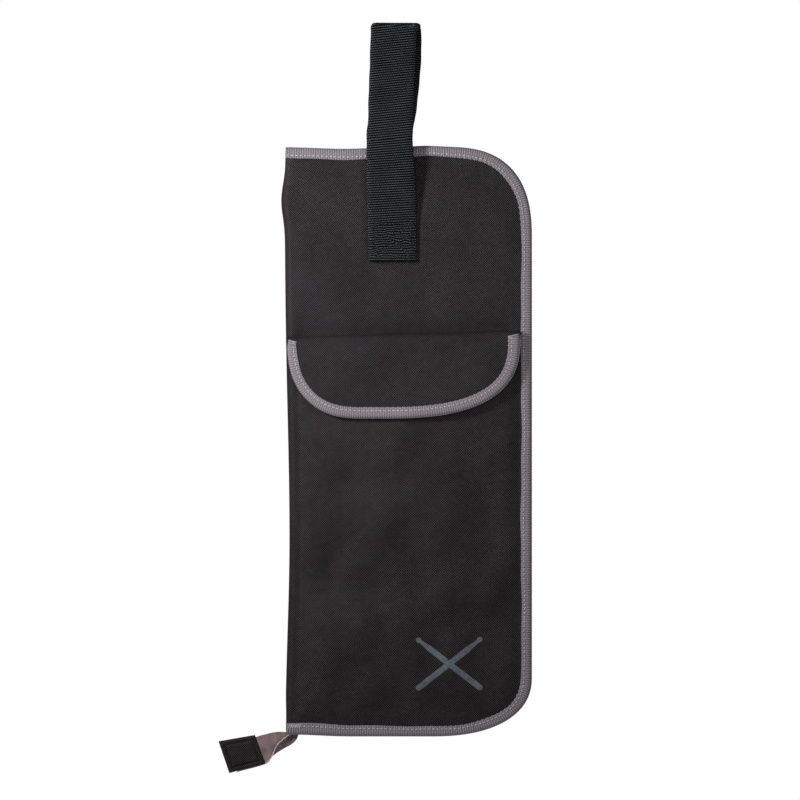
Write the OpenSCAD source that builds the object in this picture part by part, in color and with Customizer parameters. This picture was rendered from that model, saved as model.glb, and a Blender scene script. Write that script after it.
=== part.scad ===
// Drum stick bag: two padded covers on a fabric spine, a zipper round three sides,
// an outer pocket with a flap, and a webbing loop to hang it by.
// +X is to the right, +Z is up, and the outer pocket faces -Y.
// The origin is the inside top of the webbing loop.

/* [Bag] */
// Width from the spine to the right edge
bag_w = 196; // [180:1:230]
// Height of the covers
bag_h = 466; // [450:1:490]
// Closed thickness, from cover face to cover face
bag_t = 31; // [30:0.5:40]
// Radius of the covers' top right corner
top_corner_r = 57; // [30:1:65]
// Radius of the covers' bottom right corner
bottom_corner_r = 52; // [30:1:65]
// Height of the foam's crown on the back cover
back_crown = 1.4; // [1:0.1:3]

/* [Layers] */
// Thickness of the outer fabric with its coating
fabric_t = 1; // [0.8:0.1:1.2]
// Thickness of the foam in each cover
foam_t = 3; // [2:0.5:4]
// Thickness of the lining
lining_t = 0.8; // [0.5:0.1:1]
// Width of the edge binding on a cover's face
binding_w = 10; // [8:0.5:12]
// Thickness of the edge binding
binding_t = 0.8; // [0.6:0.1:0.9]

/* [Handle] */
// Width of the webbing
strap_w = 38; // [30:1:50]
// Thickness of the webbing
strap_t = 1.6; // [1.2:0.1:1.8]
// Inside radius of the loop's top bend
loop_r = 8; // [7:0.5:9]
// Straight distance from the bend's centre to where the legs meet
loop_leg = 80; // [70:1:84]
// Distance from the spine to the webbing's centre line
strap_from_spine = 87; // [70:1:100]
// Distance from the inside top of the loop down to the covers' top edge
loop_rise = 96; // [94:1:110]
// Distance from the covers' top edge down to the sewn end
sewn_drop = 57; // [45:1:65]
// Length of the sewn end
sewn_len = 33.5; // [28:0.5:38]

/* [Outer pocket] */
// Depth of the outer pocket's space
pocket_depth = 5; // [4.6:0.1:7]
// Distance from the covers' top edge down to the flap's fold
flap_drop = 149; // [140:1:160]
// Width of the flap
flap_w = 186; // [180:0.5:188]
// Depth of the flap below its fold
flap_depth = 65.5; // [60:0.5:70]
// Radius of the flap's left corner
flap_left_r = 51.5; // [45:0.5:55]
// Radius of the flap's right corner
flap_right_r = 58.5; // [50:0.5:59]
// Slope of the flap's fold, rising to the right
flap_slope = 1.6; // [0:0.1:2]
// Distance from the fold down to the pocket's mouth
mouth_drop = 17; // [14:1:20]
// Width of the flap's binding
flap_binding_w = 9; // [7:0.5:10]

/* [Stick pockets] */
// Depth of each row of stick pockets
stick_pocket_depth = 7; // [6:0.5:7]
// Height of the stick pockets
stick_pocket_h = 320; // [280:5:340]
// Number of pockets on the back cover
back_pocket_count = 3; // [2:1:4]
// Number of pockets on the front cover
front_pocket_count = 2; // [1:1:3]

/* [Zipper] */
// Distance from the covers' edge in to the middle of the zipper tape
zipper_inset = 5; // [4.8:0.1:5.2]
// Thickness of the zipper tape
tape_t = 0.8; // [0.6:0.1:1]
// Width of one row of teeth
coil_w = 2.6; // [2.4:0.1:2.8]
// Thickness of the teeth
coil_t = 2.2; // [2:0.1:2.2]
// Length of the slider
slider_len = 10; // [9:0.5:11]
// Length of the pull beyond its hinge
pull_len = 28; // [24:1:32]
// Length of the free tail from the corner to the end tab
tail_len = 28.7; // [25:0.1:32]
// Length of the folded end tab
tab_len = 29; // [25:0.5:32]
// Width of the folded end tab
tab_w = 26; // [24:0.5:28]

/* [Hidden] */
$fn = 96;
eps = 0.01;

fabric_colour = "#2b282a";
lining_colour = "#1d1c1e";
foam_colour = "#8d8d90";
binding_colour = "#7f777e";
webbing_colour = "#1b1e1e";
tape_colour = "#8f8284";
metal_colour = "#77797c";
print_colour = "#5c6068";

// The covers' outline, seen from the front.
left = -strap_from_spine;
right = left + bag_w;
top = -loop_rise;
bottom = top - bag_h;
spine_gap = 2;

// Faces of the layers, from the front to the back.
front_face = strap_t + 1;
front_foam = front_face + fabric_t;
front_inside = front_foam + foam_t + lining_t;
back_face = front_face + bag_t;
back_foam = back_face - fabric_t;
back_inside = back_foam - foam_t - lining_t;
crown_inset = 12;

// Stick pockets: cloth that stands off the lining, with a seam at each divider.
pocket_cloth_t = 0.8;
pocket_inset = 9;
pocket_left = left + 5;
pocket_bottom = bottom + pocket_inset;
stick_mouth = pocket_bottom + stick_pocket_h;
hem_h = 10;
hem_t = 0.6;

// The zipper's two halves meet in the middle of the closed bag.
zip_y = (front_face + back_face) / 2;
coil_gap = 1;
zip_left = left + spine_gap + 0.2;
slider_left = left + 5;
notch_gap = 0.8;
lower_coil_left = left + 15;

// Slider and pull, placed down from the covers' top edge.
slider_w = 10.4;
plate_t = 1.2;
slider_top = top - 2.2;
slider_bottom = top - 2 * zipper_inset + 2.2;
bridge_half = 3.5;
bridge_w = 2.4;
pull_w = 7;
pull_t = 1;
pull_x = slider_left + slider_len / 2;
pull_z = top - 1.6;

// Outer pocket, flap and what closes it.
pocket_cloth_face = front_face - pocket_depth;
pocket_face = pocket_cloth_face - fabric_t;
hook_t = 0.9;
flap_back = pocket_face - 2 * hook_t;
flap_face = flap_back - lining_t - fabric_t;
flap_front = flap_face - hem_t;
flap_left = left + 0.5;
flap_z = top - flap_drop;
mouth_z = flap_z - mouth_drop;
pocket_stitch_inset = 5.5;
hook_size = [60, 20];
hook_drop = 36;

// Handle: the legs touch below the loop and are sewn to the front cover.
loop_centre = -loop_r;
leg_angle = asin(loop_r / loop_leg);
bend_steps = 32;
sewn_top = top - sewn_drop;
thread_t = 0.4;
thread_w = 0.9;
stitch_margin = 4;

// Crossed sticks printed on the pocket.
emblem_x = 43.5;
emblem_z = bottom + 59;
stick_l = 66;
stick_w = 4.6;
stick_angle = 38;
print_t = 0.2;

// Zipper tail, which leaves the bottom left corner and ends in a folded tab.
tail_root = [left + 7, bottom + 2];
tail_angle = 25.4;
tail_root_w = 8;
tail_t = 2.4;
tab_angle = 12;
tab_skin = 0.8;
tuck = 10;

// Raises a flat outline drawn in X and Z into a slab from y0 to y1.
module slab(y0, y1) {
    translate([0, y1, 0]) rotate([90, 0, 0]) linear_extrude(y1 - y0) children();
}

// A flat rectangle between two corners.
module area(x0, z0, x1, z1) {
    translate([x0, z0]) square([x1 - x0, z1 - z0]);
}

// A cover's outline: square corners at the spine, round ones on the right.
module cover_face(inset, start = left + spine_gap) {
    r_top = top_corner_r - inset;
    r_bottom = bottom_corner_r - inset;
    x1 = right - inset;
    z0 = bottom + inset;
    z1 = top - inset;
    area(start, z0, x1 - max(r_top, r_bottom), z1);
    area(x1 - max(r_top, r_bottom) - 1, z0 + r_bottom, x1, z1 - r_top);
    area(x1 - max(r_top, r_bottom) - 1, z1 - r_top - 1, x1 - r_top, z1);
    area(x1 - max(r_top, r_bottom) - 1, z0, x1 - r_bottom, z0 + r_bottom + 1);
    translate([x1 - r_top, z1 - r_top]) circle(r_top);
    translate([x1 - r_bottom, z0 + r_bottom]) circle(r_bottom);
}

// The strip between two insets, along the top, right and bottom.
module edge_band(outer, inner, start = left + spine_gap) {
    difference() {
        cover_face(outer, start);
        cover_face(inner, start - 1);
    }
}

// Folded tape round a cover's edge: a leg on each face and a wall round the edge.
module cover_binding(outer_face, inner_face) {
    out = sign(outer_face - inner_face);
    outside = outer_face + out * binding_t;
    inside = inner_face - out * binding_t;
    leg_w = binding_w - 2;
    slab(min(outer_face, outside), max(outer_face, outside)) edge_band(0, binding_w);
    slab(min(inner_face, inside), max(inner_face, inside)) edge_band(0, leg_w);
    slab(min(outside, inside), max(outside, inside)) edge_band(0, binding_t);
}

module back_panel() {
    color(fabric_colour) difference() {
        union() {
            slab(back_foam, back_face) cover_face(binding_t);
            slab(back_foam, back_face + back_crown)
                cover_face(crown_inset, left + crown_inset);
        }
        slab(back_foam - eps, back_foam + back_crown)
            cover_face(crown_inset + fabric_t, left + crown_inset + fabric_t);
    }
}

module back_padding() {
    color(foam_colour) {
        slab(back_foam - foam_t, back_foam) cover_face(binding_t);
        slab(back_foam - eps, back_foam + back_crown)
            cover_face(crown_inset + fabric_t, left + crown_inset + fabric_t);
    }
}

module back_lining() {
    color(lining_colour) slab(back_inside, back_inside + lining_t) cover_face(binding_t);
}

module back_binding() {
    color(binding_colour) cover_binding(back_face, back_inside);
}

module front_panel() {
    color(fabric_colour) slab(front_face, front_foam) cover_face(binding_t);
}

module front_padding() {
    color(foam_colour) slab(front_foam, front_foam + foam_t) cover_face(binding_t);
}

module front_lining() {
    color(lining_colour) slab(front_inside - lining_t, front_inside) cover_face(binding_t);
}

module front_binding() {
    color(binding_colour) cover_binding(front_face, front_inside);
}

// The spine's ends stop short of the corners, where the zipper passes.
module spine_sheet(x0, x1) {
    translate([x0, front_face, bottom + 6]) cube([x1 - x0, bag_t, bag_h - 7]);
}

module spine_panel() {
    color(fabric_colour) spine_sheet(left, left + fabric_t);
}

module spine_lining() {
    color(lining_colour) spine_sheet(left + fabric_t, left + fabric_t + lining_t);
}

// The outline of a row of stick pockets.
module stick_outline() {
    intersection() {
        cover_face(pocket_inset, pocket_left);
        area(pocket_left, pocket_bottom, right, stick_mouth);
    }
}

// The cloth of a row of stick pockets, standing off a cover's lining.
module stick_cloth(lining_face, cloth_face) {
    cloth_back = cloth_face - sign(cloth_face - lining_face) * pocket_cloth_t;
    slab(min(cloth_back, cloth_face), max(cloth_back, cloth_face)) stick_outline();
}

// The sewn sides and dividers, between the lining and the back of the cloth.
module stick_seams(count, lining_face, cloth_face) {
    cloth_back = cloth_face - sign(cloth_face - lining_face) * pocket_cloth_t;
    pitch = (right - pocket_inset - pocket_left - pocket_cloth_t) / count;
    slab(min(lining_face, cloth_back), max(lining_face, cloth_back)) difference() {
        stick_outline();
        for (i = [0 : count - 1]) {
            x0 = pocket_left + pocket_cloth_t + i * pitch;
            intersection() {
                cover_face(pocket_inset + pocket_cloth_t, pocket_left);
                area(x0, pocket_bottom, x0 + pitch - pocket_cloth_t, stick_mouth + 1);
            }
        }
    }
}

// Tape folded over a row of stick pockets' cloth, along their mouths.
module stick_hem(count, lining_face, cloth_face) {
    inward = sign(cloth_face - lining_face);
    cloth_back = cloth_face - inward * pocket_cloth_t;
    near = cloth_back - inward * hem_t;
    far = cloth_face + inward * hem_t;
    pitch = (right - pocket_inset - pocket_left - pocket_cloth_t) / count;
    slab(min(cloth_face, far), max(cloth_face, far))
        area(pocket_left, stick_mouth - hem_h, right - pocket_inset, stick_mouth + hem_t);
    slab(min(cloth_back, far), max(cloth_back, far))
        area(pocket_left, stick_mouth, right - pocket_inset, stick_mouth + hem_t);
    for (i = [0 : count - 1]) {
        x0 = pocket_left + pocket_cloth_t + i * pitch;
        slab(min(near, cloth_back), max(near, cloth_back))
            area(x0, stick_mouth - hem_h, x0 + pitch - pocket_cloth_t, stick_mouth + hem_t);
    }
}

module stick_pocket_back() {
    color(fabric_colour) stick_cloth(back_inside, back_inside - stick_pocket_depth);
}

module stick_pocket_back_seams() {
    color(fabric_colour)
        stick_seams(back_pocket_count, back_inside, back_inside - stick_pocket_depth);
}

module stick_pocket_back_hem() {
    color(binding_colour)
        stick_hem(back_pocket_count, back_inside, back_inside - stick_pocket_depth);
}

module stick_pocket_front() {
    color(fabric_colour) stick_cloth(front_inside, front_inside + stick_pocket_depth);
}

module stick_pocket_front_seams() {
    color(fabric_colour)
        stick_seams(front_pocket_count, front_inside, front_inside + stick_pocket_depth);
}

module stick_pocket_front_hem() {
    color(binding_colour)
        stick_hem(front_pocket_count, front_inside, front_inside + stick_pocket_depth);
}

// The zipper tape stands between a cover's binding and its row of teeth.
module tape(y0, y1) {
    slab(y0, y1) edge_band(zipper_inset - tape_t / 2, zipper_inset + tape_t / 2, zip_left);
}

// The teeth end short of the corner at the bottom, where the tail leaves.
module coil(y0, top_start) {
    slab(y0, y0 + coil_w) intersection() {
        edge_band(zipper_inset - coil_t / 2, zipper_inset + coil_t / 2, top_start);
        union() {
            area(top_start, bottom + bag_h / 2, right, top);
            area(lower_coil_left, bottom, right, bottom + bag_h / 2);
        }
    }
}

module zipper_tape_back() {
    color(tape_colour)
        tape(zip_y + coil_gap / 2 + coil_w, back_inside - binding_t);
}

module zipper_coil_back() {
    color(lining_colour) coil(zip_y + coil_gap / 2, slider_left);
}

// The front half is cut away at the closed slider, so the cover can swing off it.
module zipper_tape_front() {
    color(tape_colour) difference() {
        tape(front_inside + binding_t, zip_y - coil_gap / 2 - coil_w);
        translate([slider_left - notch_gap, zip_y - slider_w / 2 - notch_gap, top - 2 * zipper_inset])
            cube([slider_len + 2 * notch_gap, slider_w, 2 * zipper_inset]);
    }
}

module zipper_coil_front() {
    color(lining_colour)
        coil(zip_y - coil_gap / 2 - coil_w, slider_left + slider_len + 2 * notch_gap);
}

// A small clamped stop on one half of the tape, beside the closed slider.
module zipper_stop(y0) {
    translate([zip_left, y0, top - zipper_inset - coil_t / 2]) cube([2, coil_w, coil_t]);
}

module zipper_stop_back() {
    color(metal_colour) zipper_stop(zip_y + coil_gap / 2);
}

module zipper_stop_front() {
    color(metal_colour) zipper_stop(zip_y - coil_gap / 2 - coil_w);
}

// Two plates with lips beside the teeth, a post between them and a bridge on top.
module zipper_slider() {
    lip_w = 1.2;
    slot_half = 0.9;
    tape_z = top - zipper_inset;
    y0 = zip_y - slider_w / 2;
    color(metal_colour) {
        translate([slider_left, y0, slider_top - plate_t]) cube([slider_len, slider_w, plate_t]);
        translate([slider_left, y0, slider_bottom]) cube([slider_len, slider_w, plate_t]);
        for (y = [y0, zip_y + slider_w / 2 - lip_w]) {
            translate([slider_left, y, tape_z + slot_half])
                cube([slider_len, lip_w, slider_top - tape_z - slot_half]);
            translate([slider_left, y, slider_bottom])
                cube([slider_len, lip_w, tape_z - slot_half - slider_bottom]);
        }
        translate([slider_left, zip_y - coil_gap * 0.35, slider_bottom])
            cube([3, coil_gap * 0.7, slider_top - slider_bottom]);
        for (x = [pull_x - bridge_half, pull_x + bridge_half - 1])
            translate([x, zip_y - bridge_w / 2, slider_top]) cube([1, bridge_w, top - slider_top]);
        translate([pull_x - bridge_half, zip_y - bridge_w / 2, top - 1])
            cube([2 * bridge_half, bridge_w, 1]);
    }
}

// The pull turns on a round cross bar that lies under the slider's bridge.
module zipper_pull() {
    window_l = 4.8;
    window_w = bridge_w + 1;
    arm_w = (pull_w - window_w) / 2;
    color(metal_colour) {
        translate([pull_x, zip_y + pull_w / 2, pull_z]) rotate([90, 0, 0]) cylinder(d = pull_t, h = pull_w);
        for (y = [-pull_w / 2, pull_w / 2 - arm_w])
            translate([pull_x, zip_y + y, pull_z - pull_t / 2]) cube([window_l, arm_w, pull_t]);
        translate([pull_x + window_l, zip_y - pull_w / 2, pull_z - pull_t / 2])
            cube([pull_len - window_l - pull_w / 2, pull_w, pull_t]);
        translate([pull_x + pull_len - pull_w / 2, zip_y, pull_z - pull_t / 2])
            cylinder(d = pull_w, h = pull_t);
    }
}

// The pocket's outline: sewn down beside the spine and inside the binding.
module pocket_outline(inset) {
    intersection() {
        cover_face(binding_w + 0.2 + inset, left + pocket_stitch_inset + inset);
        area(left, bottom, right, mouth_z);
    }
}

module outer_pocket_panel() {
    color(fabric_colour) difference() {
        slab(pocket_face, front_face) pocket_outline(0);
        slab(pocket_cloth_face, front_face + 1) intersection() {
            cover_face(binding_w + 0.2 + fabric_t, left + pocket_stitch_inset + fabric_t);
            area(left, bottom, right, mouth_z + 1);
        }
    }
}

// The turned hem inside the pocket's mouth.
module outer_pocket_hem() {
    color(fabric_colour) slab(pocket_cloth_face, pocket_cloth_face + 0.3)
        area(left + pocket_stitch_inset + fabric_t, mouth_z - 15,
             right - binding_w - 0.2 - fabric_t, mouth_z);
}

module hook_area() {
    translate([flap_left + flap_w / 2 - hook_size[0] / 2, flap_z - hook_drop - hook_size[1] / 2])
        square(hook_size);
}

module pocket_loop_strip() {
    color(lining_colour) slab(pocket_face - hook_t, pocket_face) hook_area();
}

module flap_hook_strip() {
    color(lining_colour) slab(flap_back, flap_back + hook_t) hook_area();
}

// One printed drum stick: a shaft with a round butt and a small round tip.
module stick_print(angle) {
    translate([emblem_x, emblem_z]) rotate(angle) {
        translate([-stick_l / 2, 0]) circle(d = stick_w);
        polygon([[-stick_l / 2, -stick_w / 2], [-stick_l / 2, stick_w / 2],
                 [stick_l * 0.3, stick_w / 2], [stick_l * 0.45, stick_w / 4],
                 [stick_l * 0.45, -stick_w / 4], [stick_l * 0.3, -stick_w / 2]]);
        translate([stick_l * 0.46, 0]) circle(d = stick_w * 0.9);
    }
}

module printed_emblem() {
    color(print_colour) slab(pocket_face - print_t, pocket_face) {
        stick_print(stick_angle);
        stick_print(180 - stick_angle);
    }
}

// Everything below the flap's sloping fold.
module below_fold(drop) {
    translate([flap_left + flap_w / 2, flap_z - drop]) rotate(flap_slope)
        translate([-flap_w, -2 * flap_depth]) square([2 * flap_w, 2 * flap_depth]);
}

// The flap's outline: a large round corner at each end of a straight lower edge.
module flap_outline(inset) {
    x0 = flap_left + inset;
    x1 = flap_left + flap_w - inset;
    z0 = flap_z - flap_depth + inset;
    r_left = flap_left_r - inset;
    r_right = flap_right_r - inset;
    translate([x0 + r_left, z0 + r_left]) circle(r_left);
    translate([x1 - r_right, z0 + r_right]) circle(r_right);
    area(x0, z0 + r_left, x0 + r_left + 1, flap_z + 10);
    area(x1 - r_right - 1, z0 + r_right, x1, flap_z + 10);
    area(x0 + r_left, z0, x1 - r_right, flap_z + 10);
}

module flap_sheet(y0, y1, inset, drop) {
    slab(y0, y1) intersection() {
        flap_outline(inset);
        below_fold(drop);
    }
}

module flap_panel() {
    color(fabric_colour) flap_sheet(flap_face, flap_face + fabric_t, hem_t, 0.2);
}

module flap_lining() {
    color(lining_colour) flap_sheet(flap_face + fabric_t, flap_back, hem_t, 0.2);
}

// Folded tape round the flap's curved edge, over its two layers.
module flap_binding() {
    color(binding_colour) difference() {
        slab(flap_front, flap_back + hem_t) difference() {
            intersection() {
                flap_outline(0);
                below_fold(0.2);
            }
            flap_outline(flap_binding_w);
        }
        slab(flap_face, flap_back) flap_outline(hem_t);
    }
}

// The flap's sewn edge, which reaches from the front cover out to the fold.
module flap_seam_strip() {
    color(fabric_colour) slab(flap_front + 0.2, front_face) intersection() {
        flap_outline(1);
        difference() {
            below_fold(-2.2);
            below_fold(-0.2);
        }
    }
}

// Points round the loop's top bend, from one tangent leg to the other.
function bend(r) = [
    for (i = [0 : bend_steps])
        let (a = -leg_angle + i * (180 + 2 * leg_angle) / bend_steps)
            [r * cos(a), loop_centre + r * sin(a)]
];

// The loop's outer outline: the bend, tangent legs, and two layers below them.
module loop_outline() {
    r = loop_r + strap_t;
    leg_run = (r * cos(leg_angle) - strap_t) / sin(leg_angle);
    z = loop_centre - r * sin(leg_angle) - leg_run * cos(leg_angle);
    foot = sewn_top + 0.1;
    polygon(concat(bend(r), [[-strap_t, z], [-strap_t, foot], [strap_t, foot], [strap_t, z]]));
}

module handle_loop() {
    color(webbing_colour) translate([-strap_w / 2, 0, 0]) rotate([90, 0, 90]) linear_extrude(strap_w)
        difference() {
            loop_outline();
            polygon(concat(bend(loop_r), [[0, loop_centre - loop_leg]]));
        }
}

module handle_sewn_end() {
    color(webbing_colour) translate([-strap_w / 2, front_face - 2 * strap_t, sewn_top - sewn_len])
        cube([strap_w, 2 * strap_t, sewn_len]);
}

// A box of stitches with a cross in it, on the sewn end's face.
module handle_stitching() {
    w = strap_w - 2 * stitch_margin;
    h = sewn_len - 2 * stitch_margin;
    cross_l = sqrt(w * w + h * h) - 2 * thread_w;
    face = front_face - 2 * strap_t;
    color(fabric_colour) slab(face - thread_t, face) translate([0, sewn_top - sewn_len / 2]) {
        difference() {
            square([w, h], center = true);
            square([w - 2 * thread_w, h - 2 * thread_w], center = true);
        }
        for (a = [atan2(h, w), -atan2(h, w)])
            rotate(a) square([cross_l, thread_w], center = true);
    }
}

// The joined tapes run from the corner to the tab, widening as they turn.
module zipper_tail() {
    color(tape_colour) slab(zip_y - tail_t / 2, zip_y + tail_t / 2) translate(tail_root) {
        tail_end = [-tail_len * cos(tail_angle), -tail_len * sin(tail_angle)];
        half = tab_w / 2 - 1;
        side = [sin(tab_angle), -cos(tab_angle)];
        polygon([[5, -tail_root_w / 2], [-2, tail_root_w / 2],
                 tail_end - side * half, tail_end + side * half]);
        translate(tail_end) rotate(180 + tab_angle) translate([-eps, -half]) square([tuck, 2 * half]);
    }
}

// A piece of fabric folded over the tail's end.
module zipper_end_tab() {
    tail_end = [-tail_len * cos(tail_angle), -tail_len * sin(tail_angle)];
    color(fabric_colour) difference() {
        slab(zip_y - tail_t / 2 - tab_skin, zip_y + tail_t / 2 + tab_skin)
            translate(tail_root + tail_end) rotate(180 + tab_angle)
                translate([0.1, -tab_w / 2]) square([tab_len, tab_w]);
        slab(zip_y - tail_t / 2, zip_y + tail_t / 2)
            translate(tail_root + tail_end) rotate(180 + tab_angle)
                translate([-1, -tab_w / 2 - 1]) square([tuck + 1, tab_w + 2]);
    }
}

back_panel();
back_padding();
back_lining();
back_binding();
stick_pocket_back();
stick_pocket_back_seams();
stick_pocket_back_hem();
zipper_tape_back();
zipper_coil_back();
zipper_stop_back();
spine_panel();
spine_lining();
front_panel();
front_padding();
front_lining();
front_binding();
stick_pocket_front();
stick_pocket_front_seams();
stick_pocket_front_hem();
zipper_tape_front();
zipper_coil_front();
zipper_stop_front();
outer_pocket_panel();
outer_pocket_hem();
pocket_loop_strip();
printed_emblem();
flap_seam_strip();
flap_panel();
flap_lining();
flap_binding();
flap_hook_strip();
handle_loop();
handle_sewn_end();
handle_stitching();
zipper_slider();
zipper_pull();
zipper_tail();
zipper_end_tab();
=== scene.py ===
"""The looks of the drum stick bag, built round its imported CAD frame.

Lengths below are in millimetres, in the CAD's own frame, and MM turns them into Blender's metres.
The bag hangs from the inside top of its webbing loop: +X right, +Z up, the outer pocket faces -Y.
"""

import math

import bmesh
import bpy
import numpy as np
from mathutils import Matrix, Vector


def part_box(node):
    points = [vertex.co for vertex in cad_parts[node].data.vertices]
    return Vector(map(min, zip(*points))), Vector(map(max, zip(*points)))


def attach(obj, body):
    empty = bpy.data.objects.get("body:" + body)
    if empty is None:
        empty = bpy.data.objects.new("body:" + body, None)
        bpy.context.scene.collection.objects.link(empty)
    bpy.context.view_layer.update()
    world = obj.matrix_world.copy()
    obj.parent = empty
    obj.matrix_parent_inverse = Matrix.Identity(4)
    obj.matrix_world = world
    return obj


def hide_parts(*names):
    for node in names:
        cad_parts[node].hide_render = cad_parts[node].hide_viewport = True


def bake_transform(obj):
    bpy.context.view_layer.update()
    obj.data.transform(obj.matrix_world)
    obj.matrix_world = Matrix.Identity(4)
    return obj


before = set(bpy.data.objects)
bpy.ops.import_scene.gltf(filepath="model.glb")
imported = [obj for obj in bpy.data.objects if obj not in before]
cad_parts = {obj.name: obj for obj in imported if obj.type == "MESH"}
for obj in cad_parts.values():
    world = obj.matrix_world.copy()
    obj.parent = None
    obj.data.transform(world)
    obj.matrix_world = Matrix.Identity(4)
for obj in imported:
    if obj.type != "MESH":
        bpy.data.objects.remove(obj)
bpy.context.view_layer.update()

MM = 0.001
PI = math.pi


def box_mm(node):
    """A CAD node's lowest and highest corners, in millimetres."""
    low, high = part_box(node)
    return low / MM, high / MM


# ---- Measures from the frame ------------------------------------------------------------------

LEFT = box_mm("spine_panel")[0].x
RIGHT, _, TOP = box_mm("front_binding")[1]
BOTTOM = box_mm("front_binding")[0].z
FRONT_FACE = box_mm("front_panel")[0].y
FRONT_INSIDE = box_mm("front_lining")[1].y
BACK_INSIDE = box_mm("back_lining")[0].y
BACK_FACE = box_mm("spine_panel")[1].y
MIDDLE = (FRONT_FACE + BACK_FACE) / 2
SPINE_LINING = box_mm("spine_lining")[1].x
TAPE_START = box_mm("zipper_tape_back")[0].x
COIL_START = box_mm("zipper_coil_back")[0].x
SLIDER_END = box_mm("zipper_coil_front")[0].x
SLIDER_FACE = box_mm("zipper_slider")[0].y
MOUTH = box_mm("outer_pocket_panel")[1].z
FLAP_LOW, FLAP_HIGH = box_mm("flap_binding")
STICK_LOW, STICK_HIGH = box_mm("stick_pocket_back")
STRAP_LOW, STRAP_HIGH = box_mm("handle_loop")
SEWN_LOW, SEWN_HIGH = box_mm("handle_sewn_end")
EMBLEM_LOW, EMBLEM_HIGH = box_mm("printed_emblem")

EDGE_START = LEFT + 0.4
# A round corner's width, height and fullness; 2 is an ellipse, and more is squarer
TOP_CORNER = (67, 73, 2.56)
BOTTOM_CORNER = (79, 47, 2.3)
BINDING_WIDTH = 10
FLAP_SLOPE = math.radians(1.6)
FLAP_MIDDLE = (FLAP_LOW.x + FLAP_HIGH.x) / 2
FOLD = -245
STRAP_T = 1.6
STRAP_BEND = 8.8
STRAP_RIB = 1.88
RIB = 1.9
RIB_HEIGHT = 0.09
RIB_STEP = RIB / 4


# ---- Numbers and meshes -----------------------------------------------------------------------


def ease(value):
    """Smooth step from 0 to 1."""
    t = np.clip(value, 0, 1)
    return t * t * (3 - 2 * t)


def hump(value, centre, width):
    """A smooth bump of height 1."""
    return np.exp(-(((value - centre) / width) ** 2))


def waves(seed, length, x, z, count=16):
    """A smooth random field of about unit size, made of plane waves of about that length."""
    rng = np.random.RandomState(seed)
    total = 0
    for _ in range(count):
        turn = rng.uniform(0, 2 * PI)
        k = 2 * PI / (length * rng.uniform(0.7, 1.5))
        total = total + np.sin(k * (x * math.cos(turn) + z * math.sin(turn)) + rng.uniform(0, 2 * PI))
    return total / math.sqrt(count / 2)


def settle(points):
    """The bag's edges aren't straight: the left draws in along the pocket and bulges near the top."""
    p = np.array(points, float)
    x, z = p[..., 0].copy(), p[..., 2].copy()
    reach = np.where(z > -405, 140, 105)
    bow = 0.9 + 3.8 * hump(z, -405, reach) - 2.8 * hump(z, -138, 17)
    p[..., 0] = x + bow * ease((-20 - x) / 67)
    top_sag = 1.0 * hump(x, 25, 16) - 1.4 * hump(x, -40, 30)
    bottom_rise = 1.5 * ease((-35 - x) / 50)
    p[..., 2] = z + top_sag * ease((z + 230) / 130) + bottom_rise * ease((-500 - z) / 60)
    return p


def dress(piece, slot, body=None, *nodes):
    """Puts a piece on the body it rides on and hides the CAD nodes it stands for. The slot argument is not
    used.
    """
    if body:
        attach(piece, body)
    if nodes:
        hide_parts(*nodes)
    return piece


def unit(vectors):
    """Vectors brought to length 1."""
    return vectors / np.linalg.norm(vectors, axis=1, keepdims=True)


def heading(line):
    """Unit steps along a line of points."""
    return unit(np.gradient(line, axis=0))


def tape_uvs(around, along):
    """UVs for rings of points: the way round each ring by the way along them."""
    return np.stack(np.broadcast_arrays(around[None, :], along[:, None]), -1)


def upright_grid(columns, low, high, rows):
    """X and Z over a sheet whose columns run from low to high."""
    z = low + (high - low) * np.linspace(0, 1, rows)[:, None]
    return np.broadcast_to(columns, z.shape), z


def new_object(name, mesh, material, smooth_angle=50):
    piece = bpy.data.objects.new(name, mesh)
    bpy.context.scene.collection.objects.link(piece)
    mesh.materials.append(material)
    mesh.shade_smooth()
    mesh.set_sharp_from_angle(angle=math.radians(smooth_angle))
    return piece


def mesh_piece(name, verts, faces, corner_uvs, material, smooth_angle=50):
    """An object from points in millimetres, with a UV map in millimetres."""
    mesh = bpy.data.meshes.new(name)
    mesh.from_pydata((np.asarray(verts) * MM).tolist(), [], faces)
    layer = mesh.uv_layers.new(name="metric")
    layer.data.foreach_set("uv", np.asarray(corner_uvs, np.float32).ravel())
    mesh.update()
    return new_object(name, mesh, material, smooth_angle)


def fix_normals(piece):
    """Turns a closed mesh's faces outward."""
    bm = bmesh.new()
    bm.from_mesh(piece.data)
    bmesh.ops.recalc_face_normals(bm, faces=bm.faces)
    bm.to_mesh(piece.data)
    bm.free()


def quads(rows, cols, wrap=False, offset=0):
    """Index quads of a grid, and where each quad's corners are in a grid of UVs."""
    r, c = np.meshgrid(np.arange(rows - 1), np.arange(cols if wrap else cols - 1), indexing="ij")
    r, c = r.ravel(), c.ravel()
    nxt = (c + 1) % cols
    faces = np.stack([r * cols + c, r * cols + nxt, (r + 1) * cols + nxt, (r + 1) * cols + c], 1)
    uv_cols = cols + 1 if wrap else cols
    spots = [r * uv_cols + c, r * uv_cols + c + 1, (r + 1) * uv_cols + c + 1, (r + 1) * uv_cols + c]
    return faces + offset, np.stack(spots, 1)


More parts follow.
